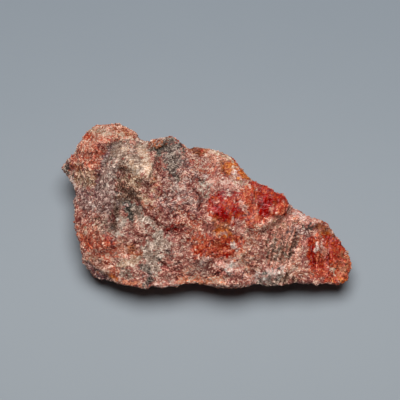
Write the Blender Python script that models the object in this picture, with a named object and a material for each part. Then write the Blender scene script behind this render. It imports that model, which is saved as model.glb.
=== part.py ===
"""A loose piece of triplite: one natural stone with a broad, broken, granular face.

Units are metres, +Z is up, and the origin is on the table under the middle of the stone.
The stone is drawn from its broad face. That face leans back from the front of the table, so its
outline and its relief are laid out on a slope plane with three directions: across the stone,
uphill along the slope, and outward from the slope. Behind the face, fracture planes trim the
body down to the flat break that the stone rests on.
"""

import math

import bmesh
import bpy
import numpy as np
from mathutils import Vector, geometry, noise

# Lengths below are in millimetres, and the finished mesh is in metres.
MM = 0.001

# The slope plane that the broad face leans back on.
SLOPE = math.radians(30)
ACROSS = Vector((1, 0, 0))
UPHILL = Vector((0, math.cos(SLOPE), math.sin(SLOPE)))
OUTWARD = Vector((0, -math.sin(SLOPE), math.cos(SLOPE)))
FACE_PITCH = 0.8

# The body behind the face narrows to this share of it, around this middle on the slope plane,
# and runs this far below the table before it is cut flat.
BODY_TAPER = 0.80
BODY_MIDDLE = (-4.0, 14.0)
BELOW_TABLE = -3.0

# The middle of the finished stone on the table, which becomes the origin.
FOOTPRINT_MIDDLE = (-0.3, 14.3, 0.0)

# How fine the finished solid is, the band above the table that is laid flat on it, and the
# crease angle in degrees that shades as an edge.
VOXEL = 0.5
TRIANGLES = 9400
FLAT_BAND = 0.3
CREASE = 30

# The edge of the broad face, clockwise from the left tip: across, uphill, height above the table.
RIM = [
    (-30.0, 24.0, 6.0),
    (-28.9, 25.6, 6.8),
    (-27.5, 27.2, 8.0),
    (-25.9, 28.8, 9.5),
    (-25.1, 31.0, 11.2),
    (-23.9, 32.2, 12.2),
    (-22.3, 32.7, 12.7),
    (-19.7, 32.7, 13.2),
    (-17.9, 32.6, 13.2),
    (-16.0, 32.0, 12.7),
    (-14.6, 31.1, 12.2),
    (-14.0, 29.4, 11.5),
    (-12.9, 29.2, 11.2),
    (-11.5, 28.8, 12.0),
    (-10.7, 29.4, 13.0),
    (-8.9, 29.6, 14.0),
    (-7.1, 29.5, 14.5),
    (-5.9, 29.0, 14.8),
    (-4.9, 28.2, 15.0),
    (-4.1, 27.4, 15.2),
    (-0.9, 27.5, 16.0),
    (0.9, 27.0, 16.2),
    (2.9, 26.0, 16.0),
    (4.7, 25.0, 15.8),
    (6.1, 23.6, 15.4),
    (8.9, 21.0, 14.6),
    (11.1, 19.8, 14.0),
    (15.1, 17.6, 12.4),
    (15.5, 16.8, 11.8),
    (17.1, 15.0, 10.4),
    (18.7, 14.8, 10.0),
    (20.5, 13.8, 9.2),
    (22.5, 12.9, 8.6),
    (24.1, 11.8, 8.0),
    (25.8, 10.6, 7.2),
    (27.1, 9.3, 6.6),
    (27.7, 8.0, 6.0),
    (28.7, 6.8, 5.2),
    (29.1, 4.6, 4.8),
    (29.4, 3.0, 4.4),
    (28.6, 0.9, 4.0),
    (27.7, 0.3, 4.0),
    (26.1, 0.1, 4.2),
    (24.5, 0.4, 4.4),
    (22.5, 0.1, 4.4),
    (19.5, 0.8, 4.7),
    (17.9, 0.8, 4.8),
    (16.5, 0.2, 4.6),
    (15.1, -0.2, 4.5),
    (11.5, -0.4, 4.5),
    (8.9, -0.2, 4.8),
    (7.5, -0.4, 4.8),
    (5.5, -0.4, 4.9),
    (3.5, -0.2, 5.0),
    (-1.5, 0.2, 4.8),
    (-4.5, 0.3, 5.0),
    (-7.5, -0.2, 5.0),
    (-10.5, -0.5, 5.0),
    (-13.5, -0.6, 5.0),
    (-17.3, 0.0, 4.4),
    (-19.6, 0.6, 3.6),
    (-21.2, 1.0, 3.0),
    (-23.0, 2.0, 3.0),
    (-24.3, 3.5, 3.2),
    (-25.1, 5.8, 3.8),
    (-25.8, 7.6, 4.6),
    (-26.4, 10.6, 5.4),
    (-27.1, 14.0, 6.0),
    (-27.3, 18.0, 6.4),
    (-27.5, 19.4, 6.4),
    (-28.2, 21.0, 6.0),
    (-29.4, 22.8, 6.0),
]

# Spot heights inside the rim, which crown the face: across, uphill, height above the table.
SPOTS = [
    (-22.5, 26.5, 12.6),
    (-20.5, 29.5, 13.6),
    (-14.5, 25.0, 15.4),
    (-22.5, 17.0, 9.6),
    (-22.5, 9.5, 8.4),
    (-16.0, 5.0, 7.6),
    (-9.0, 5.0, 8.4),
    (-7.5, 15.0, 13.3),
    (0.5, 17.0, 15.4),
    (-1.5, 5.0, 9.2),
    (7.5, 15.0, 13.8),
    (8.5, 4.6, 8.0),
    (16.5, 9.5, 9.2),
    (18.5, 4.0, 6.6),
    (24.5, 6.5, 6.8),
]

# Relief of the broad face. A path is a list of (across, uphill) corners.
# Folds: path, half width, rise. A negative rise is a groove.
FOLDS = [
    ([(-17.4, 28.6), (-19.8, 27.2), (-20.8, 24.8), (-21.8, 22.0), (-22.2, 18.5)], 1.0, -1.6),
    ([(-18.5, 19.5), (-16.2, 17.2), (-15.6, 13.5)], 1.6, -0.9),
    ([(-15.6, 13.5), (-15.0, 9.5), (-14.6, 5.0)], 1.8, -0.9),
    ([(-19.2, 15.5), (-19.6, 11.0)], 1.2, -0.7),
    ([(-26.5, 28.4), (-22.0, 27.8)], 1.2, 0.5),
    ([(-24.8, 5.2), (-21.0, 2.8), (-18.4, 0.8)], 0.9, 0.7),
    ([(-7.0, 26.0), (-7.4, 21.0), (-5.8, 17.0)], 1.6, 0.6),
    ([(-3.6, 19.8), (-1.9, 18.0), (-1.6, 15.0)], 0.8, -0.5),
    ([(17.6, 8.8), (16.2, 4.8)], 0.8, -0.8),
    ([(14.6, 9.6), (13.2, 4.4)], 0.7, -0.5),
    ([(12.2, 9.4), (11.4, 5.0)], 0.6, -0.4),
    ([(20.6, 9.2), (20.8, 4.6)], 0.7, -0.6),
    ([(23.8, 9.8), (23.4, 3.4)], 0.9, -0.7),
    ([(21.9, 9.0), (22.0, 5.4)], 0.6, 0.4),
    ([(26.0, 8.0), (26.2, 2.4)], 0.6, -0.4),
    ([(-22.0, 12.0), (-17.5, 7.0)], 1.0, 0.4),
]

# Ledges: path, rise of the ground to the left of the path, edge width, reach.
LEDGES = [
    ([(-11.2, 20.8), (-9.9, 23.6), (-9.4, 26.8)], 1.9, 0.45, 5.0),
    ([(-5.2, 11.2), (-9.0, 11.6), (-11.6, 13.2), (-14.2, 17.2)], -0.6, 0.5, 5.0),
    ([(10.6, 11.8), (13.0, 12.6), (15.4, 14.6)], 1.2, 0.5, 4.5),
    ([(-13.5, 28.2), (-17.4, 29.2), (-20.0, 28.8)], -1.3, 0.4, 3.0),
    ([(1.2, 5.0), (4.8, 6.0), (7.2, 4.6)], 0.8, 0.4, 3.5),
]

# Lumps and hollows: centre across and uphill, half length, half width, turn in degrees, rise.
LUMPS = [
    (-22.6, 26.0, 5.5, 4.2, 35, 1.0),
    (-14.0, 24.6, 4.6, 3.4, -20, 1.0),
    (-6.7, 28.4, 2.2, 1.5, 0, 0.8),
    (-12.6, 28.6, 1.5, 1.0, 0, -1.0),
    (-22.3, 8.5, 4.6, 4.0, 60, 0.9),
    (13.0, 1.6, 3.0, 1.4, 5, 0.5),
    (-2.0, 20.5, 3.6, 2.6, 30, 0.5),
    (8.5, 9.5, 3.0, 2.0, 10, -0.5),
    (-12.0, 8.5, 3.4, 2.4, -35, -0.3),
]

# Cleavage blocks, flat on top with crisp edges: centre across and uphill, half length, half width,
# turn in degrees, rise.
BLOCKS = [
    (-9.9, 28.0, 1.8, 1.2, 20, 1.1),
    (-24.0, 25.8, 2.6, 2.0, 60, 0.5),
    (-12.6, 23.4, 2.9, 1.7, 75, 0.6),
    (-16.6, 24.6, 2.4, 1.4, 65, 0.5),
    (-5.6, 23.8, 2.6, 1.6, 70, 0.5),
    (3.2, 22.8, 1.5, 1.5, -35, 0.7),
    (6.0, 22.0, 1.9, 1.0, -45, 0.6),
    (12.8, 16.6, 2.9, 2.4, -25, 0.8),
    (7.2, 17.4, 2.2, 1.6, -25, 0.5),
    (1.4, 13.4, 2.4, 1.6, 15, 0.4),
    (4.4, 3.6, 2.9, 1.6, 10, 0.8),
    (19.4, 13.2, 2.5, 1.2, -15, 0.6),
    (22.2, 7.0, 0.7, 2.4, 5, 0.5),
    (25.0, 5.4, 1.3, 2.2, 5, 0.5),
    (12.6, 2.2, 2.8, 1.3, 5, 0.6),
    (-21.6, 10.6, 2.6, 1.9, 50, 0.35),
    (-9.0, 7.4, 2.6, 1.9, 70, 0.4),
    (-17.6, 3.6, 2.4, 1.3, 15, 0.5),
]

# Fracture planes that trim the body: a point on the plane and its outward direction.
FRACTURES = [
    ((-20.0, 31.0, 13.0), (0.22, 0.97, 0.08)),
    ((-7.1, 26.6, 14.5), (0.42, 0.90, -0.10)),
    ((15.1, 14.2, 12.4), (0.50, 0.86, 0.05)),
    ((-28.1, 27.6, 6.6), (-0.60, 0.50, -0.62)),
    ((-29.6, 20.0, 4.5), (-0.80, 0.00, -0.60)),
    ((-23.4, 0.0, 2.4), (-0.45, -0.52, -0.73)),
    ((-10.5, -3.8, 4.2), (0.00, -0.66, -0.75)),
    ((20.0, -2.3, 3.0), (0.10, -0.70, -0.70)),
    ((28.9, 2.5, 3.0), (0.80, 0.15, -0.58)),
]

# How far a lump's slope spreads past its half width, and a block's edge as a share of it.
LUMP_SPREAD = 0.4
BLOCK_EDGE = 0.22

# Broken texture over the whole stone: size of a chip and its rise.
CHIPS = [(6.2, 0.62), (2.6, 0.36)]
CHIP_REACH = 0.75
CHIP_TILT = 2.0
CHIP_STEP = 0.3
CHIP_STEEP = 3.0
TILT_SEED = 7.0
STEP_SEED = 5.0

# Grain under the chips: its rise, its coarsest size, and how its finer layers fall off.
GRAIN_RISE = 0.16
GRAIN_SIZE = 1.7
GRAIN_FALL = 0.8
GRAIN_STEP = 2.1
GRAIN_LAYERS = 4


def clear_scene():
    """Empties the scene of whatever was in it."""
    for old in list(bpy.data.objects):
        bpy.data.objects.remove(old)


def smooth(share):
    """Eases a share of 0 to 1 in and out."""
    share = np.clip(share, 0.0, 1.0)
    return share * share * (3 - 2 * share)


def outward_of(uphill, height):
    """How far outward of the slope plane a point uphill on it lies, for its height above the table."""
    return (height - uphill * UPHILL.z) / OUTWARD.z


def to_table(flat, outward):
    """Points on the slope plane, raised outward, as positions over the table."""
    return np.outer(flat[:, 0], ACROSS) + np.outer(flat[:, 1], UPHILL) + np.outer(outward, OUTWARD)


def path_distance(flat, path):
    """Distance of each point to a path, and the same distance signed positive on its left."""
    best = np.full(len(flat), np.inf)
    signed = np.zeros(len(flat))
    for start, end in zip(path, path[1:]):
        start = np.array(start)
        run = np.array(end) - start
        off = flat - start
        along = np.clip(off @ run / (run @ run), 0.0, 1.0)
        gap = np.hypot(*(off - along[:, None] * run).T)
        side = np.sign(run[0] * off[:, 1] - run[1] * off[:, 0])
        nearer = gap < best
        best = np.where(nearer, gap, best)
        signed = np.where(nearer, gap * side, signed)
    return best, signed


def turned(flat, across, uphill, half_length, half_width, turn):
    """Places along and beside a turned feature, in shares of its half length and half width."""
    turn = math.radians(turn)
    east = flat[:, 0] - across
    north = flat[:, 1] - uphill
    along = (east * math.cos(turn) + north * math.sin(turn)) / half_length
    beside = (north * math.cos(turn) - east * math.sin(turn)) / half_width
    return along, beside


def relief(flat):
    """Rise of the folds, ledges, lumps and blocks at points on the slope plane."""
    rise = np.zeros(len(flat))
    for path, half_width, height in FOLDS:
        gap, _ = path_distance(flat, path)
        rise += height * smooth(1 - gap / (2 * half_width))
    for path, height, edge, reach in LEDGES:
        gap, signed = path_distance(flat, path)
        rise += height * smooth(0.5 + signed / (2 * edge)) * smooth(1 - gap / reach)
    for *place, height in LUMPS:
        along, beside = turned(flat, *place)
        rise += height * smooth(1 + LUMP_SPREAD - np.hypot(along, beside))
    for *place, height in BLOCKS:
        along, beside = turned(flat, *place)
        rise += height * smooth((1 - np.maximum(abs(along), abs(beside))) / BLOCK_EDGE)
    return rise


class Crown:
    """A thin-plate surface through the rim and the spot heights, over the slope plane."""

    def __init__(self, knots):
        knots = np.array(knots)
        self.flat = knots[:, :2]
        outward = outward_of(knots[:, 1], knots[:, 2])
        count = len(knots)
        system = np.zeros((count + 3, count + 3))
        system[:count, :count] = self.bend(self.flat)
        system[:count, count] = 1
        system[:count, count + 1:] = self.flat
        system[count:, :count] = system[:count, count:].T
        self.weights = np.linalg.solve(system, np.append(outward, np.zeros(3)))

    def bend(self, flat):
        """The plate's bending kernel from each point to each knot."""
        gap = np.hypot(*(flat[:, None] - self.flat[None]).transpose(2, 0, 1))
        return gap * gap * np.log(np.maximum(gap, 1e-9))

    def at(self, flat):
        """How far outward the surface lies at points on the slope plane."""
        plane = np.column_stack([np.ones(len(flat)), flat])
        return np.hstack([self.bend(flat), plane]) @ self.weights


def outline():
    """The rim on the slope plane, with no step longer than the face's pitch."""
    corners = [np.array(corner[:2]) for corner in RIM]
    points = []
    for start, end in zip(corners, corners[1:] + corners[:1]):
        steps = math.ceil(np.hypot(*(end - start)) / FACE_PITCH)
        points += [start + (end - start) * step / steps for step in range(steps)]
    return np.array(points)


def face_triangles(edge):
    """The outline filled with an even field of points: the points and their triangles."""
    low, high = edge.min(0), edge.max(0)
    columns = np.arange(low[0], high[0], FACE_PITCH)
    rows = np.arange(low[1], high[1], FACE_PITCH)
    field = np.array([(x, y) for x in columns for y in rows])
    apart = np.hypot(*(field[:, None] - edge[None]).transpose(2, 0, 1)).min(1)
    points = [Vector(p) for p in np.vstack([edge, field[apart > FACE_PITCH / 2]])]
    loop = [(i, (i + 1) % len(edge)) for i in range(len(edge))]
    flat, _, triangles, *_ = geometry.delaunay_2d_cdt(points, loop, [], 1, 1e-5)
    return np.array(flat), triangles


def stone_block():
    """The broad face with its relief, closed below by a tapered body, as a bmesh."""
    edge = outline()
    flat, triangles = face_triangles(edge)
    crown = Crown(RIM + SPOTS)
    top = to_table(flat, crown.at(flat) + relief(flat))
    block = bmesh.new()
    corners = [block.verts.new(p) for p in top]
    for triangle in triangles:
        block.faces.new([corners[i] for i in triangle])
    bmesh.ops.recalc_face_normals(block, faces=block.faces)
    rim_edges = [e for e in block.edges if e.is_boundary]
    skirt = bmesh.ops.extrude_edge_only(block, edges=rim_edges)["geom"]
    middle = ACROSS * BODY_MIDDLE[0] + UPHILL * BODY_MIDDLE[1]
    for corner in (g for g in skirt if isinstance(g, bmesh.types.BMVert)):
        offset = corner.co - middle
        inner = middle + (ACROSS * offset.dot(ACROSS) + UPHILL * offset.dot(UPHILL)) * BODY_TAPER
        corner.co = inner - OUTWARD * (inner.z - BELOW_TABLE) / OUTWARD.z
    foot_edges = [e for e in block.edges if e.is_boundary]
    bmesh.ops.contextual_create(block, geom=foot_edges)
    bmesh.ops.recalc_face_normals(block, faces=block.faces)
    return block


def trim(block, point, direction):
    """Cuts the block along a fracture plane and closes the cut."""
    whole = list(block.verts) + list(block.edges) + list(block.faces)
    cut = bmesh.ops.bisect_plane(
        block, geom=whole, plane_co=point, plane_no=direction, clear_outer=True
    )["geom_cut"]
    edges = [g for g in cut if isinstance(g, bmesh.types.BMEdge) and g.is_boundary]
    bmesh.ops.holes_fill(block, edges=edges)


def evaluated_mesh(obj):
    """A plain mesh of the object with its modifiers applied."""
    graph = bpy.context.evaluated_depsgraph_get()
    return bpy.data.meshes.new_from_object(obj.evaluated_get(graph))


def with_modifier(obj, kind, **settings):
    """Adds one modifier, applies it and leaves the result as the object's mesh."""
    modifier = obj.modifiers.new(kind.title(), kind)
    for name, value in settings.items():
        setattr(modifier, name, value)
    finished = evaluated_mesh(obj)
    obj.modifiers.clear()
    obj.data = finished


def chip_rise(point, size):
    """A crisp faceted rise: the lowest of tilted planes, each of which ends past its own chip."""
    place = point / size
    rises = []
    for centre in noise.voronoi(place)[1]:
        offset = place - centre
        tilt = noise.cell_vector(centre * TILT_SEED) - Vector((0.5, 0.5, 0.5))
        step = noise.cell(centre * STEP_SEED)
        past = max(0.0, offset.length - CHIP_REACH)
        rises.append(offset.dot(tilt) * CHIP_TILT + step * CHIP_STEP + past * CHIP_STEEP)
    return min(rises)


def break_surface(mesh):
    """Roughens the stone with chips and grain, which together neither swell nor shrink it."""
    rises = []
    for vertex in mesh.vertices:
        place = vertex.co / MM
        grain = noise.fractal(place / GRAIN_SIZE, GRAIN_FALL, GRAIN_STEP, GRAIN_LAYERS)
        chips = sum(height * chip_rise(place, size) for size, height in CHIPS)
        rises.append(GRAIN_RISE * grain + chips)
    rises = np.array(rises) - np.mean(rises)
    places = np.array([vertex.co + vertex.normal * rise * MM
                       for vertex, rise in zip(mesh.vertices, rises)])
    mesh.vertices.foreach_set("co", places.ravel())


def flatten_foot(mesh):
    """Lays everything within a narrow band of the table exactly flat on it."""
    for vertex in mesh.vertices:
        if vertex.co.z < FLAT_BAND * MM:
            vertex.co.z = 0.0


def centre_footprint(mesh):
    """Puts the origin under the middle of the stone."""
    for vertex in mesh.vertices:
        vertex.co -= Vector(FOOTPRINT_MIDDLE) * MM


def stone_material():
    """Granular salmon-red triplite with a slightly greasy lustre."""
    material = bpy.data.materials.new("triplite")
    material.use_nodes = True
    shader = material.node_tree.nodes["Principled BSDF"]
    shader.inputs["Base Color"].default_value = (0.42, 0.15, 0.11, 1)
    shader.inputs["Roughness"].default_value = 0.55
    shader.inputs["Metallic"].default_value = 0.0
    return material


def build_stone():
    """The whole stone as one object."""
    block = stone_block()
    for point, direction in FRACTURES:
        trim(block, Vector(point), Vector(direction).normalized())
    trim(block, Vector((0, 0, 0)), Vector((0, 0, -1)))
    bmesh.ops.triangulate(block, faces=block.faces)
    bmesh.ops.scale(block, vec=(MM, MM, MM), verts=block.verts)
    mesh = bpy.data.meshes.new("stone")
    block.to_mesh(mesh)
    block.free()
    stone = bpy.data.objects.new("triplite_stone", mesh)
    bpy.context.scene.collection.objects.link(stone)
    with_modifier(stone, "REMESH", mode="VOXEL", voxel_size=VOXEL * MM)
    break_surface(stone.data)
    flatten_foot(stone.data)
    stone.data.calc_loop_triangles()
    share = TRIANGLES / len(stone.data.loop_triangles)
    with_modifier(stone, "DECIMATE", ratio=min(1.0, share), use_collapse_triangulate=True)
    flatten_foot(stone.data)
    centre_footprint(stone.data)
    stone.data.materials.clear()
    stone.data.materials.append(stone_material())
    stone.data.shade_smooth()
    stone.data.set_sharp_from_angle(angle=math.radians(CREASE))
    return stone


def main():
    """Clears the scene and models the stone."""
    clear_scene()
    build_stone()


main()
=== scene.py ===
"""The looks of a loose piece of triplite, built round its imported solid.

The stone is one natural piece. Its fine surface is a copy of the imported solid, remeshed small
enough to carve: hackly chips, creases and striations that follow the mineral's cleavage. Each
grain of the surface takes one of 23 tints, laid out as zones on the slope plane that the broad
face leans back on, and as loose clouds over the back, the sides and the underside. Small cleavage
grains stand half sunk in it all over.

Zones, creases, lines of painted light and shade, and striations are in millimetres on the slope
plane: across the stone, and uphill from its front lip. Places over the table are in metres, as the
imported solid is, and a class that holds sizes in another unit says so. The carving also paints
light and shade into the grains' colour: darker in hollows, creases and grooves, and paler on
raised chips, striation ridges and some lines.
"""

import logging
import math
from dataclasses import dataclass
from enum import Enum, IntEnum
from itertools import product
from typing import Any

import bmesh
import bpy
import numpy as np
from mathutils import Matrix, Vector


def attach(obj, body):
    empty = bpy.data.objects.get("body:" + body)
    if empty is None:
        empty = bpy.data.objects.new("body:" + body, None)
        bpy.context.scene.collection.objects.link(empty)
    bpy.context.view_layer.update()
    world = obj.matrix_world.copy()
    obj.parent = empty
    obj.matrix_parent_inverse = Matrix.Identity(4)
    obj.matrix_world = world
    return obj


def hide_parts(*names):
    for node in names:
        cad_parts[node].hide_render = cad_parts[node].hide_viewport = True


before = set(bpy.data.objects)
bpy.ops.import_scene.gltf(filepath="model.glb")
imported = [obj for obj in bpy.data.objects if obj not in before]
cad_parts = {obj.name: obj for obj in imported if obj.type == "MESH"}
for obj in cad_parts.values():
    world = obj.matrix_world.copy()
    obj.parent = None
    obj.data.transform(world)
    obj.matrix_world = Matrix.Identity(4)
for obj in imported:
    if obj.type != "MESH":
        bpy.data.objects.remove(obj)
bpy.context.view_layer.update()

MM = 0.001

log = logging.getLogger("triplite")

Colour = tuple[float, float, float]
Path = tuple[tuple[float, float], ...]
Items = bpy.types.bpy_prop_collection
Socket = bpy.types.NodeSocket
Value = Socket | bpy.types.Material | float | tuple[float, ...]
Feeds = dict[str | int, Value]


def shown(red: int, green: int, blue: int) -> Colour:
    """A colour named by its 0 to 255 screen values, as the linear colour a shader takes."""
    parts = (part / 255 for part in (red, green, blue))
    return tuple(p / 12.92 if p <= 0.04045 else ((p + 0.055) / 1.055) ** 2.4 for p in parts)


def smooth(share: np.ndarray) -> np.ndarray:
    """Eases shares of 0 to 1 in and out."""
    share = np.clip(share, 0.0, 1.0)
    return share * share * (3 - 2 * share)


@dataclass(frozen=True)
class GrainFinish:
    """One mineral tint: the colours of its dark, middling and bright grains, and its roughness."""

    dark: Colour
    body: Colour
    light: Colour
    roughness: float = 0.5


class Tint(Enum):
    """The tints of the minerals and stains that the stone is a mosaic of, and of painted glints."""

    ROSE = GrainFinish(shown(117, 51, 44), shown(171, 98, 84), shown(239, 196, 173), 0.45)
    MAUVE = GrainFinish(shown(90, 52, 49), shown(136, 93, 84), shown(220, 185, 171), 0.50)
    PLUM = GrainFinish(shown(91, 53, 54), shown(154, 97, 94), shown(250, 203, 189), 0.50)
    SALMON = GrainFinish(shown(144, 55, 39), shown(201, 99, 73), shown(247, 197, 168), 0.42)
    PEACH = GrainFinish(shown(171, 91, 68), shown(214, 139, 112), shown(249, 212, 188), 0.45)
    BLUSH = GrainFinish(shown(167, 91, 81), shown(211, 138, 119), shown(246, 208, 190), 0.35)
    CREAM = GrainFinish(shown(156, 114, 89), shown(204, 165, 136), shown(242, 217, 195), 0.45)
    SAND = GrainFinish(shown(181, 98, 68), shown(238, 150, 115), shown(243, 212, 187), 0.50)
    BEIGE = GrainFinish(shown(99, 70, 57), shown(149, 118, 101), shown(212, 186, 167), 0.50)
    TAN = GrainFinish(shown(124, 68, 56), shown(182, 113, 91), shown(247, 191, 169), 0.48)
    OCHRE = GrainFinish(shown(120, 78, 60), shown(183, 132, 102), shown(250, 213, 183), 0.55)
    RUST = GrainFinish(shown(90, 36, 25), shown(156, 75, 46), shown(205, 133, 94), 0.45)
    AMBER = GrainFinish(shown(150, 56, 16), shown(196, 92, 33), shown(233, 150, 85), 0.25)
    BRICK = GrainFinish(shown(123, 29, 17), shown(189, 67, 40), shown(235, 140, 102), 0.35)
    RUBY = GrainFinish(shown(114, 11, 4), shown(169, 32, 14), shown(208, 93, 52), 0.30)
    GARNET = GrainFinish(shown(108, 2, 1), shown(161, 4, 2), shown(188, 20, 5), 0.25)
    MAROON = GrainFinish(shown(79, 23, 19), shown(131, 45, 36), shown(224, 149, 128), 0.40)
    UMBER = GrainFinish(shown(67, 35, 28), shown(120, 74, 56), shown(207, 166, 141), 0.50)
    ASH = GrainFinish(shown(113, 80, 72), shown(165, 128, 116), shown(233, 208, 191), 0.42)
    GREY = GrainFinish(shown(117, 89, 78), shown(181, 149, 131), shown(247, 221, 202), 0.40)
    SLATE = GrainFinish(shown(55, 41, 37), shown(98, 78, 70), shown(186, 165, 149), 0.45)
    SOOT = GrainFinish(shown(41, 30, 29), shown(88, 77, 68), shown(180, 166, 150), 0.45)
    FROST_AND_PAINTED_GLINT = GrainFinish(shown(163, 119, 110), shown(231, 183, 169), shown(250, 233, 219), 0.22)


@dataclass(frozen=True)
class Zone:
    """Ground along a path on the slope plane, in millimetres, where one tint takes most grains."""

    tint: Tint
    half_width: float
    share: float
    path: Path


@dataclass(frozen=True)
class Cloud:
    """A tint's loose clouds, sized in millimetres, over the sides that the zones don't reach."""

    tint: Tint
    size: float
    threshold: float


@dataclass(frozen=True)
class Crease:
    """A line carved between grains: its path, half width and depth in millimetres, and its painted
    shade.

    A line with a negative depth is a rounded rib, and one with a negative shade is painted light.
    """

    path: Path
    half_width: float
    depth: float
    shade: float


@dataclass(frozen=True)
class PaintedShadingLine:
    """A broad line of painted shade on the ground, in millimetres. A negative shade is painted light.
    """

    path: Path
    half_width: float
    shade: float


@dataclass(frozen=True)
class Striation:
    """A patch of parallel cleavage ridges, in millimetres, turned by degrees from across."""

    middle: tuple[float, float]
    half_length: float
    half_width: float
    turn: float
    pitch: float
    depth: float
    # Painted light on the ridges and painted shade in the grooves between them.
    shade: float


@dataclass(frozen=True)
class Chips:
    """One size of hackly facets, and how far they rise, in millimetres."""

    size: float
    rise: float
    channel: int


class Draw(IntEnum):
    """Which of a lattice corner's random numbers each use starts from, and a cloud's step."""

    MIDDLE = 0
    SPREAD = 5
    EDGE = 8
    TONE = 9
    WAVER = 60
    CLOUD_EDGE = 90
    CLOUD = 100
    EACH_CLOUD = 10
    ZONE = 200


HEAD_GROOVE: Path = (
    (-17.7, 28.4),
    (-19.5, 27.6),
    (-20.3, 25.8),
    (-21.1, 23.8),
    (-21.9, 21.4),
    (-22.1, 19.0),
)
FRONT_LIP: Path = ((-11.9, -0.4), (-4.3, 0.0), (3.3, 0.2), (10.9, 0.2), (18.5, 0.4), (27.7, 0.8))

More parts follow.
